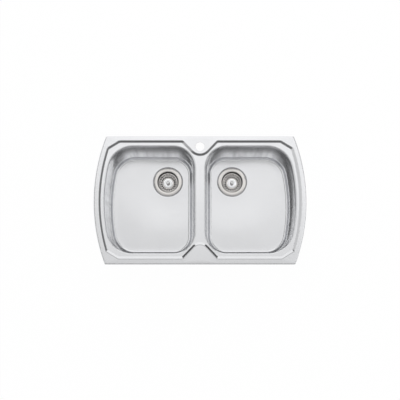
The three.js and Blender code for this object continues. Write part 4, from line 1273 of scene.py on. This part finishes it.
@dataclass
class Waste:
    """One waste with its strainer, made about its own axis from the dish's seat up."""

    side: Side
    centre: tuple[float, float] = Pressing.drain
    seat_z: float = Pressing.dish_z
    segments: int = 192
    flange_radius: float = 57.0
    flange_under: float = 2.0
    crown: float = 4.0
    cup_radius: float = 42.5
    cup_outside: float = 43.7
    cup_wall: float = 1.2
    cup_floor: float = -44.0
    cup_foot: float = 34.5
    outlet_radius: float = 21.5
    outlet_outside: float = 24.0
    outlet_top: float = -48.5
    outlet_end: float = -66.0
    thread_low: float = -20.0
    thread_high: float = -2.5
    cup_thread: tuple[float, float] = (0.6, 2.0)  # the depth and the pitch
    outlet_thread: tuple[float, float] = (0.8, 2.2)
    bar: float = 3.0
    bars: int = 6
    hub_radius: float = 6.5
    hub_drop: float = 8.0
    stem_hole: float = 3.3
    bore: float = 44.0  # of what is pushed on round the cup
    nut_radius: float = 53.0
    nut_low: float = -15.9
    nut_high: float = -5.9
    lugs: int = 6
    lug_length: float = 4.0
    lug_width: float = 8.0
    slots: int = 20
    slot_width: float = 5.0
    slot_reach: tuple[float, float] = (22.3, -28.4)
    basket_sheet: float = 0.9

    def place(self, points: np.ndarray) -> np.ndarray:
        """Puts points about the axis in their place in the sink."""
        return points + at(self.side.value * self.centre[0], self.centre[1], self.seat_z)

    def finish(self, skin: Skin, name: str, material: Material) -> Piece:
        """Makes a piece of the waste in its place."""
        return skin.moved(self.place).make(f"{self.side.word}_{name}", material)

    def body(self, material: Material) -> Piece:
        """The pressed flange and cup with the thread for the lock nut, the threaded outlet,
        and the spider of six bars that guides the strainer's stem.

        All but the bars is sections turned about the axis; a bar is one section carried from
        the hub to the outlet's wall.

        Args:
            material: Its finish.

        Returns:
            The piece.
        """
        root = self.cup_outside - self.cup_thread[0]
        outlet_root = self.outlet_outside - self.outlet_thread[0]
        under = self.cup_floor - self.cup_wall
        lower = section([(outlet_root, self.outlet_top), (outlet_root, under, 0.5),
                         (self.cup_foot, under, 3), (root, -34.4, 2), (root, self.thread_low)])
        upper = section([(root, self.thread_high), (root, self.flange_under, 1.2),
                         (55.4, self.flange_under, 0.6), (56.1, 0.3), (self.flange_radius, 0.3, 0.25),
                         (self.flange_radius, 2.6, 0.6), (56.2, 3.5, 0.8), (49.5, self.crown, 20),
                         (self.cup_radius, 3.7, 2.4), (self.cup_radius, -33, 3),
                         (self.cup_foot, self.cup_floor, 4), (self.outlet_radius, self.cup_floor, 1.5),
                         (self.outlet_radius, self.outlet_end), (outlet_root, self.outlet_end),
                         (outlet_root, self.outlet_end + 1)], degrees=7)
        skin = Skin().lathe(lower, self.segments).lathe(divided(upper, 4.0), self.segments)
        for low, high, radius, form in (
                (self.thread_low, self.thread_high, self.cup_outside, self.cup_thread),
                (self.outlet_end + 1, self.outlet_top, self.outlet_outside, self.outlet_thread)):
            skin.thread(low, high, radius, *form, self.segments)
        top, bore = self.cup_floor - self.hub_drop, self.stem_hole + 0.2
        skin.lathe(closed_section([(bore, top - 6), (self.hub_radius, top - 6, 0.5),
                                   (self.hub_radius, top, 0.5), (bore, top)]), self.segments)
        half = self.bar / 2
        loop = section([(-half, -self.bar, 0.5), (half, -self.bar, 0.5), (half, 0, 0.5), (-half, 0, 0.5)],
                       closed=True, degrees=30)
        rows = np.empty((2, len(loop), 3))
        rows[..., 0] = at(self.hub_radius - 0.5, self.outlet_radius + 0.3)[:, None]
        rows[..., 1:] = loop + at(0, top)
        for angle in round_angles(self.bars):
            skin.grid(spun(with_ends(rows), angle))
        return self.finish(skin, "waste_cup", material)

    def flange_seal(self, material: Material) -> Piece:
        """The soft seal squeezed between the flange and the dish. Its black lip out past the flange's
        edge is painted shadow: a dark ring put where the gap round the flange is in shade.
        """
        # the lip from 57.1 to 58.1 out past the flange's edge is painted shadow for the shaded gap
        line = closed_section([(47.3, 0.05, 0.3), (58.1, 0.05, 0.2), (58.0, 0.6, 0.3), (57.3, 0.7, 0.2),
                               (57.1, 0.26), (55.5, 0.26), (55.2, 1.95, 0.5), (47.3, 1.95, 0.5)])
        return self.finish(Skin().lathe(line, self.segments), "flange_seal_ring", material)

    def gasket(self, material: Material) -> Piece:
        """The rubber gasket under the bowl, with two sealing ribs on its face."""
        line = closed_section([(self.bore, -4.3, 0.5), (54.6, -4.3, 1.0), (55.0, -1.3, 0.4),
                               (52.4, -1.05, 0.5), (50.4, -1.6, 0.5), (48.0, -1.05, 0.5),
                               (46.0, -1.6, 0.5), (self.bore, -1.2, 0.3)])
        return self.finish(Skin().lathe(line, self.segments), "gasket_ring", material)

    def washer(self, material: Material) -> Piece:
        """The fibre washer over the lock nut."""
        line = closed_section([(self.bore, -5.75, 0.2), (self.nut_radius, -5.75, 0.3),
                               (self.nut_radius, -4.4, 0.3), (self.bore, -4.4, 0.2)])
        return self.finish(Skin().lathe(line, self.segments), "washer_ring", material)

    def lock_nut(self, material: Material) -> Piece:
        """The round nut with six lugs: the radius of its lower part rises by the lugs' length
        where the angle is within a lug's half width.

        Args:
            material: Its finish.

        Returns:
            The piece.
        """
        outer, low, high, edge = self.nut_radius, self.nut_low, self.nut_high, 0.006
        half = self.lug_width / 2 / (outer + self.lug_length / 2)
        sector = FULL_TURN / self.lugs
        rise = at(0.4 * half, 0.85 * half, half, half + edge, half + 0.02)
        steps = np.concatenate([-rise[::-1], [0], rise,
                                np.linspace(half + 0.05, sector - half - 0.05, 22)])
        angles = np.sort((np.arange(self.lugs)[:, None] * sector + steps).ravel())
        gap = np.abs(np.mod(angles + sector / 2, sector) - sector / 2)
        lug = np.clip((half + edge - gap) / edge, 0, 1)
        reach, flat = outer + self.lug_length * lug, np.ones_like(angles)
        shoulder = low + 0.8 * (high - low)
        bore, bevel = self.bore, 0.6
        radii, heights = zip(
            (bore * flat, low), (reach - bevel, low), (reach - 0.15, low + 0.15), (reach, low + bevel),
            (reach, shoulder - 0.5), (reach - 0.5 * lug, shoulder), (outer * flat, shoulder),
            (outer * flat, high - bevel), ((outer - bevel) * flat, high), ((bore + bevel) * flat, high),
            (bore * flat, high - bevel), (bore * flat, low))
        skin = Skin().grid(around(np.stack(radii), heights, angles))
        return self.finish(skin, "lock_nut_ring", material)

    def basket_line(self) -> np.ndarray:
        """The basket's upper side from the stem out to its rim, as (radius, height)."""
        return section([(self.stem_hole, -36.4), (19.6, -36.4, 0.6), (21.0, -37.5, 0.6),
                        (24.8, -37.4, 1), (27.6, -34.9, 0.8), (33.4, -34.3, 1.2), (35.7, -17.6, 1.4),
                        (38.0, -16.6, 0.4), (38.0, -17.2)], degrees=6)

    def slot_band(self, start: float, end: float, radius_at: Callable[[np.ndarray], np.ndarray],
                  side_steps: int = 8, top_steps: int = 4) -> np.ndarray:
        """The band of one sector from its border in to the slot's outline.

        Args:
            start: The length along the line where the sector starts.
            end: The length where it ends.
            radius_at: The sheet's radius at lengths along the line.
            side_steps: The steps along half a side of the border.
            top_steps: The steps along half its top.

        Returns:
            Points (angle, length along the line), (rows, columns, 2); each row is a share of
            the way from the border to the slot.
        """
        middle, tall, wide = (start + end) / 2, (end - start) / 2, self.slot_width / 2
        half = math.pi / self.slots
        right = np.stack([np.full(side_steps, half), np.linspace(0, tall, side_steps + 1)[:-1]], -1)
        top = np.stack([np.linspace(half, 0, top_steps + 1), np.full(top_steps + 1, tall)], -1)
        border = np.concatenate([right, top])
        straight = tall - wide - 0.9
        along = np.linspace(0, 1, len(border)) * (straight + wide * QUARTER)
        bend = np.maximum(along - straight, 0) / wide
        slot = np.stack([wide * np.cos(bend), np.minimum(along, straight) + wide * np.sin(bend)], -1)
        loops = []
        for quarter in (border, slot):
            upper = np.concatenate([quarter, quarter[-2::-1] * at(-1, 1)])
            loops.append(np.concatenate([upper, (upper[::-1] * at(1, -1))[1:-1]]) + at(0, middle))
        border, slot = loops
        slot = np.stack([slot[:, 0] / radius_at(slot[:, 1]), slot[:, 1]], -1)
        return blend(border, slot, np.linspace(0, 1, 5))

    def basket(self, material: Material) -> Piece:
        """The slotted strainer.

        Its sheet is the basket's line turned about the axis. In each of its sectors, a band of
        the sheet runs from the sector's border in to a slot's outline: both are drawn in angle
        and length along the line, so that every row between them lies on the turned surface.

        Args:
            material: Its finish.

        Returns:
            The piece.
        """
        line = divided(self.basket_line(), 0.7)
        normal = left_of(line)
        length = running(np.linalg.norm(np.diff(line, axis=0), axis=1))
        outside = line[:, 0] > 30
        start = float(np.interp(self.slot_reach[0], line[:, 0], length))
        end = float(np.interp(self.slot_reach[1], line[outside, 1], length[outside]))
        band = self.slot_band(start, end, lambda where: np.interp(where, length, line[:, 0]))

        def on_sheet(angle: np.ndarray, where: np.ndarray, depth: float) -> np.ndarray:
            """Points of the sheet at an angle and a length along the line, under its surface."""
            radius, height = (np.interp(where, length, line[:, axis])
                              - depth * np.interp(where, length, normal[:, axis]) for axis in (0, 1))
            return around(radius, height, angle)

        angles = round_angles(8 * self.slots)
        low = np.concatenate([length[length < start - 0.05], [start]])
        high = np.concatenate([[end], length[length > end + 0.05]])
        skin = Skin()
        for part in (low, high):
            angle, where = np.meshgrid(angles, part)
            skin.grid(on_sheet(angle, where, 0), flip=True).grid(on_sheet(angle, where, self.basket_sheet))
        for edge, flip in ((0, False), (-1, True)):
            where = np.full((1, len(angles)), length[edge])
            skin.grid(np.concatenate([on_sheet(angles, where, depth) for depth in (0, self.basket_sheet)]),
                      flip=flip)
        for index in range(self.slots):
            angle = band[..., 0] + (index + 0.5) * FULL_TURN / self.slots
            upper, under = (on_sheet(angle, band[..., 1], depth) for depth in (0, self.basket_sheet))
            skin.grid(upper, flip=True).grid(under).grid(np.stack([upper[-1], under[-1]]), flip=True)
        return self.finish(skin, "strainer_basket", material)

    def stopper(self, material: Material) -> Piece:
        """The rubber ring under the basket, which closes the outlet."""
        line = closed_section([(self.stem_hole, -42.0), (9, -42.0), (12, -43.0, 1), (21.5, -43.9, 1),
                               (29.3, -43.9, 1), (31, -42.0, 0.8), (24, -39.3, 2), (19.4, -38.7, 0.3),
                               (18.4, -37.4, 0.4), (self.stem_hole, -37.4)])
        return self.finish(Skin().lathe(line, 160), "stopper_ring", material)

    def knob(self, material: Material) -> Piece:
        """The pull knob: a mushroom on a collar, with its stem down through the spider."""
        line = section([(0, -60), (2.2, -60, 0.6), (3, -58.6, 0.8), (3, -36.3), (6.0, -36.3, 0.2),
                        (6.0, -35.2, 0.5), (4.4, -34.2, 1.2), (3.9, -29.6, 2.5), (7.4, -27.6, 1.6),
                        (7.4, -23.6, 1.6), (5.9, -21.2, 2.4), (2.4, -20.2, 4.0), (0, -20.1)], degrees=6)
        return self.finish(Skin().lathe(divided(line, 2.0), 96), "strainer_knob", material)

    def cap(self, material: Material) -> Piece:
        """The bright cap plate on the strainer's bottom round the knob, with a low bead."""
        line = closed_section([(6.1, -36.35), (19.4, -36.35, 0.2), (19.4, -35.9, 0.2),
                               (14.2, -35.72, 0.3), (13.7, -35.55, 0.3), (13.2, -35.72, 0.3),
                               (6.1, -35.72)], 12)
        return self.finish(Skin().lathe(line, 160), "strainer_cap", material)

    def basket_nut(self, material: Material) -> Piece:
        """The hexagon nut that holds the knob, the basket and the stopper together."""
        return self.finish(Skin().hexagon(6.5, -46.3, -42.1, 3.0, 96), "strainer_nut", material)


# ---- Worktop clips -------------------------------------------------------------------------


@dataclass
class Clip:
    """One clip under the ledge, made about its screw with +X out to the rim."""

    name: str
    spot: tuple[float, float]
    turn: float
    base_z: float = Pressing.ledge_z - Pressing.sheet
    strip_edge: float = 0.3
    foot: float = -46.5

    def place(self, points: np.ndarray) -> np.ndarray:
        """Turns points about the screw and puts them under the ledge."""
        return spun(points, self.turn) + at(*self.spot, self.base_z)

    def finish(self, skin: Skin, part: str, material: Material) -> Piece:
        """Makes a piece of the clip in its place."""
        return skin.moved(self.place).make(f"{self.name}_{part}", material, sharp=32)

    def strip(self, path: np.ndarray, width: float, thick: float, steps: int,
              gash: tuple[float, float] = (0.0, 1.0)) -> np.ndarray:
        """A flat strip carried along a path, with rounded edges and closed ends.

        A point of the strip is the path's point, plus its left normal times the depth in the
        strip. The last straight is cut short by the gash's depth, less with the distance from
        the middle of the strip.

        Args:
            path: The strip's lower face, seen from the side, (rows, 2).
            width: The strip's width.
            thick: Its thickness.
            steps: How many columns lie on each face.
            gash: The depth and half width of the notch in the far end.

        Returns:
            The grid, (rows, columns, 3), as (along, across, up).
        """
        edge = self.strip_edge
        half, top = width / 2 - edge, thick - edge
        across = np.linspace(half, -half, steps)[1:-1]
        face, back = (np.stack([sign * across, np.full(steps - 2, depth)], -1)
                      for sign, depth in ((1, thick), (-1, 0)))
        ends = [at(y, z) + edge * circle((at(0, 0.3, 0.7, 1) + start) * QUARTER)
                for y, z, start in ((-half, top, 1), (-half, edge, 2), (half, edge, 3), (half, top, 0))]
        loop = np.concatenate([face, *ends[:2], back, *ends[2:]])
        spine = path[:, None] + left_of(path)[:, None] * loop[None, :, 1:]
        depth, reach = gash
        short = depth * np.clip(1 - np.abs(loop[:, 0]) / reach, 0, 1)
        share = np.zeros(len(path))
        share[-6:] = np.linspace(0, 1, 6)
        spine = spine - (share[:, None] * short[None])[..., None] * unit(path[-1] - path[-2])
        side = np.broadcast_to(loop[None, :, 0], spine.shape[:2])
        return with_ends(np.stack([spine[..., 0], side, spine[..., 1]], -1))

    def bracket(self, material: Material) -> Piece:
        """The plate welded under the ledge, with its ends turned down and its weld nut.

        Args:
            material: Its finish.

        Returns:
            The piece.
        """
        path = section([(11, -6.3), (11, -0.1, 2.2), (-11, -0.1, 2.2), (-11, -6.3)], degrees=12)
        plate = self.strip(divided(path, 2.0), 9.5, 1.5, 8)
        skin = Skin().grid(plate[..., [1, 0, 2]]).hexagon(5.0, -7.8, -1.55, 2.62, 48)
        return self.finish(skin, "bracket_plate", material)

    def screw(self, material: Material) -> Piece:
        """The clamp screw with its thread and its flanged hexagon head.

        Args:
            material: Its finish.

        Returns:
            The piece.
        """
        skin = Skin().hexagon(4.6, -50.8, -47.5, 0.0, 60)
        skin.lathe(section([(0, -47.9), (5.0, -47.9, 0.3), (5.0, -46.7, 0.5), (2.2, -46.55)]), 60)
        skin.thread(-46.55, -2.6, 2.5, 0.3, 1.2, 20)
        skin.lathe(section([(2.2, -2.6), (1.8, -2.15), (0, -2.1)]), 20)
        return self.finish(skin, "clamp_screw", material)

    def claw(self, material: Material) -> Piece:
        """The claw: a strip bent up at its outer end, where two teeth bite the worktop.

        Args:
            material: Its finish.

        Returns:
            The piece.
        """
        bent = section([(-6, self.foot), (30, self.foot, 3.4), (30, self.foot + 10)], degrees=10)
        path = np.concatenate([divided(bent[:-1], 2.5), np.linspace(bent[-2], bent[-1], 8)[1:]])
        return self.finish(Skin().grid(self.strip(path, 12, 2, 25, (3.0, 1.7))), "claw_strip", material)


# ---- Studio --------------------------------------------------------------------------------


@dataclass(frozen=True)
class Stand:
    """A place round the sink, turned to it: a turn from the front towards the right and a
    rise, both in degrees, and the distance from the sink's middle."""

    name: str
    turn: float
    rise: float
    distance: float

    def stood(self, data: bpy.types.ID, forward: str = "-Z") -> Piece:
        """Puts a new object there, turned to the sink.

        Args:
            data: Its mesh, lamp or camera.
            forward: The axis that points at the sink.

        Returns:
            The object.
        """
        a, e = math.radians(self.turn), math.radians(self.rise)
        way = Vector((math.sin(a) * math.cos(e), -math.cos(a) * math.cos(e), math.sin(e)))
        piece = linked(self.name, data)
        piece.location = way * self.distance
        piece.rotation_euler = (-piece.location).to_track_quat(forward, "Y").to_euler()
        return piece


@dataclass(frozen=True)
class Softbox(Stand):
    """A lamp with a soft front."""

    size: tuple[float, float]
    radiance: float

    def put(self) -> None:
        """Adds the lamp; its power is pi times its area times its radiance."""
        lamp = bpy.data.lights.new(self.name, "AREA")
        lamp.shape = "RECTANGLE"
        lamp.size, lamp.size_y = self.size
        lamp.energy = math.pi * self.size[0] * self.size[1] * self.radiance
        piece = self.stood(lamp)
        piece.visible_camera = piece.visible_glossy = False


def board(name: str, size: Sequence[float], height: float = 0.0) -> tuple[bpy.types.Mesh, Tree]:
    """A flat board with its own new material.

    Args:
        name: The name of both.
        size: Its length and width.
        height: Its Z.

    Returns:
        The mesh, and the material's nodes.
    """
    x, y = size[0] / 2, size[1] / 2
    mesh = bpy.data.meshes.new(name)
    mesh.from_pydata([(-x, -y, height), (x, -y, height), (x, y, height), (-x, y, height)], [],
                     [(0, 1, 2, 3)])
    material = bpy.data.materials.new(name)
    material.use_nodes = True
    mesh.materials.append(material)
    return mesh, Tree(material.node_tree)


@dataclass(frozen=True)
class Card(Stand):
    """A grey card round the sink for its metal to mirror, shaded from its foot to its head.

    The shade changes within the two heights of the change, counted from the card's middle.
    """

    size: tuple[float, float]
    foot: float
    head: float
    change: tuple[float, float] = (-1.5, 1.5)

    def put(self) -> None:
        """Adds the card."""
        mesh, tree = board(self.name, self.size)
        place = tree.add("NodeSeparateXYZ", {0: tree.add("NodeTexCoord")["Object"]})
        shade = tree.spread(place["Y"], *self.change, self.foot, self.head, ease="SMOOTHSTEP")
        glow = tree.add("NodeEmission", {"Color": (1, 1, 1, 1), "Strength": shade})
        tree.feed(tree.tree.nodes["Material Output"], {0: glow[0]})
        piece = self.stood(mesh, forward="Z")
        piece.visible_camera = piece.visible_shadow = False


@dataclass
class Studio:
    """A pale floor, soft lamps, grey cards and the camera."""

    room_light: float = 0.4
    floor_z: float = -0.2625
    floor_size: tuple[float, float] = (60.0, 60.0)
    floor_glow: float = 0.98
    floor_grey: float = 0.9
    eye: Stand = Stand("photo_camera", 0, 82.0, 4.5)
    lens: float = 102.8
    film: float = 36.0
    lamps: tuple[Softbox, ...] = (
        Softbox("softbox_overhead", 60, 84, 3.4, (4.2, 3.6), 1.0),
        Softbox("softbox_back", 180, 35, 4.2, (4.5, 3.0), 1.0),
        Softbox("softbox_right", 90, 35, 4.2, (3.6, 3.0), 0.9),
        Softbox("softbox_left", -90, 35, 4.4, (3.0, 2.6), 0.6),
    )
    cards: tuple[Card, ...] = (
        Card("ceiling", 180, 82, 13.0, (15.0, 30.0), 0.08, 0.08),
        Card("hood", 0, 80, 12.5, (8.0, 1.8), 0.05, 0.05),
        Card("ceiling_front", 0, 63, 12.5, (15.0, 7.0), 1.1, 0.36, (-1.2, 1.6)),
        Card("scrim_overhead", 180, 71, 12.0, (5.5, 10.6), 1.1, 0.4, (0.2, 7.6)),
        Card("scrim_back", 180, 36, 12.0, (16.0, 6.0), 1.0, 1.0),
        Card("strip_right", 106, 71.8, 11.8, (2.8, 2.4), 1.15, 1.15),
        Card("card_front", 0, 26, 12.0, (44.0, 9.4), 0.1, 0.25, (-4, 4)),
        Card("card_low_left", -90, 10, 12.0, (16.0, 5.2), 0.65, 0.65),
        Card("card_low_right", 90, 9, 12.0, (16.0, 6.4), 0.12, 0.2, (-2, 2)),
        Card("card_back_left", -139, 6, 11.0, (4.6, 4.0), 0.08, 0.08),
        Card("card_back_right", 139, 6, 11.0, (4.6, 4.0), 0.08, 0.08),
    )

    def white_to_eye(self, tree: Tree) -> Socket:
        """One for camera, glossy and transmission rays, and nothing for the light's own.

        Args:
            tree: The nodes that it is worked out in.

        Returns:
            The value's socket.
        """
        path = tree.add("NodeLightPath")
        seen = tree.math("MAXIMUM", path["Is Camera Ray"], path["Is Glossy Ray"])
        return tree.math("MAXIMUM", seen, path["Is Transmission Ray"])

    def room(self) -> None:
        """The world: white where it is seen, and an even grey as a light."""
        world = bpy.context.scene.world = bpy.data.worlds.new("studio room")
        world.use_nodes = True
        tree = Tree(world.node_tree)
        light = tree.spread(self.white_to_eye(tree), 0, 1, self.room_light, 1.0)
        tree.feed(tree.tree.nodes["Background"], {"Strength": light, "Color": (1, 1, 1, 1)})

    def floor(self) -> None:
        """The floor: nearly white, part of it its own glow where it is seen."""
        mesh, tree = board("studio_floor", self.floor_size, self.floor_z)
        glow = tree.add("NodeEmission", {"Color": (1, 1, 1, 1), "Strength": 1.0})
        matt = tree.add("NodeBsdfDiffuse", {"Color": (*[self.floor_grey] * 3, 1)})
        share = tree.math("MULTIPLY", self.white_to_eye(tree), self.floor_glow)
        mixed = tree.add("NodeMixShader", {0: share, 1: matt[0], 2: glow[0]})
        tree.feed(tree.tree.nodes["Material Output"], {0: mixed[0]})
        linked(mesh.name, mesh)

    def camera(self) -> None:
        """The camera, high over the front of the sink."""
        camera = bpy.data.cameras.new(self.eye.name)
        camera.lens, camera.sensor_width = self.lens, self.film
        bpy.context.scene.camera = self.eye.stood(camera)

    def build(self) -> None:
        """Sets up the whole studio."""
        bpy.context.scene.view_settings.view_transform = "Standard"
        self.room()
        self.floor()
        self.camera()
        for thing in (*self.lamps, *self.cards):
            thing.put()


# ---- The whole sink ------------------------------------------------------------------------

LONG_SIDE = 160  # a clip further from the X axis than this is on the back or the front side


def clips() -> list[Clip]:
    """The clips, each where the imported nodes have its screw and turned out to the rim."""
    found = []
    for name in sorted(name[:-6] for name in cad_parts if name.endswith("_screw")):
        low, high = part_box(f"{name}_screw")
        x, y = (low.x + high.x) / 2 / METRES, (low.y + high.y) / 2 / METRES
        lean = math.atan2(y, abs(x) - SinkPlan().bow_centre[0])
        short_side = lean if x > 0 else math.pi - lean
        found.append(Clip(name, (x, y), math.copysign(QUARTER, y) if abs(y) > LONG_SIDE else short_side))
    return found


@dataclass
class Assembly:
    """Makes the pieces, and says what each rides on, stands for and is finished in."""

    finishes: dict[str, Material]

    def put(self, make: Callable[[Material], Piece], body: str, look: str,
            *nodes: str) -> None:
        """Makes one piece and settles it.

        Args:
            make: Makes the piece in a material.
            body: The body that it moves with.
            look: The name of its finish.
            nodes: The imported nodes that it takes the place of.
        """
        piece = make(self.finishes[look])
        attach(piece, body)
        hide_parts(*nodes)
        log.info("%s on %s for %s", piece.name, body, ", ".join(nodes))

    def half(self, pressing: Pressing, side: Side) -> None:
        """Makes one bowl with its pad, waste and strainer.

        Args:
            pressing: Makes the sheets.
            side: Which half it is.
        """
        word, waste = side.word, Waste(side)
        self.put(partial(pressing.bowl, side), "sink", "brushed_steel", f"{word}_bowl")
        self.put(partial(pressing.pad, side), "sink", "sound_padding", f"{word}_sound_pad")
        for make, look, node in ((waste.body, "polished_steel", "waste_body"),
                                 (waste.flange_seal, "black_rubber", "flange_seal"),
                                 (waste.gasket, "black_rubber", "waste_gasket"),
                                 (waste.washer, "red_fibre", "friction_washer"),
                                 (waste.lock_nut, "nut_plastic", "lock_nut")):
            self.put(make, "sink", look, f"{word}_{node}")
        body = f"{word}_strainer"
        self.put(waste.basket, body, "polished_steel", f"{word}_basket")
        self.put(waste.cap, body, "strainer_steel")
        self.put(waste.stopper, body, "black_rubber", f"{word}_basket_stopper")
        self.put(waste.knob, body, "strainer_steel", f"{word}_basket_knob")
        self.put(waste.basket_nut, body, "polished_steel", f"{word}_basket_nut")

    def clip(self, clip: Clip) -> None:
        """Makes the three pieces of one clip.

        Args:
            clip: The clip.
        """
        claw = clip.name.replace("clip", "claw")
        for make, body, node in ((clip.bracket, "sink", "bracket"), (clip.screw, "sink", "screw"),
                                 (clip.claw, claw, "claw")):
            self.put(make, body, "zinc_steel", f"{clip.name}_{node}")


def main() -> None:
    """Builds every piece of the sink and the studio round it."""
    logging.basicConfig(level=logging.INFO, format="%(message)s")
    shop, pressing = Workshop(), Pressing()
    sink = Assembly({name: look.make(shop) for name, look in FINISHES.items()})
    sink.put(pressing.deck, "sink", "satin_steel", "deck")
    sink.put(pressing.seal, "sink", "grey_foam", "rim_seal")
    for side in Side:
        sink.half(pressing, side)
    for clip in clips():
        sink.clip(clip)
    Studio().build()


if __name__ == "__main__":
    main()
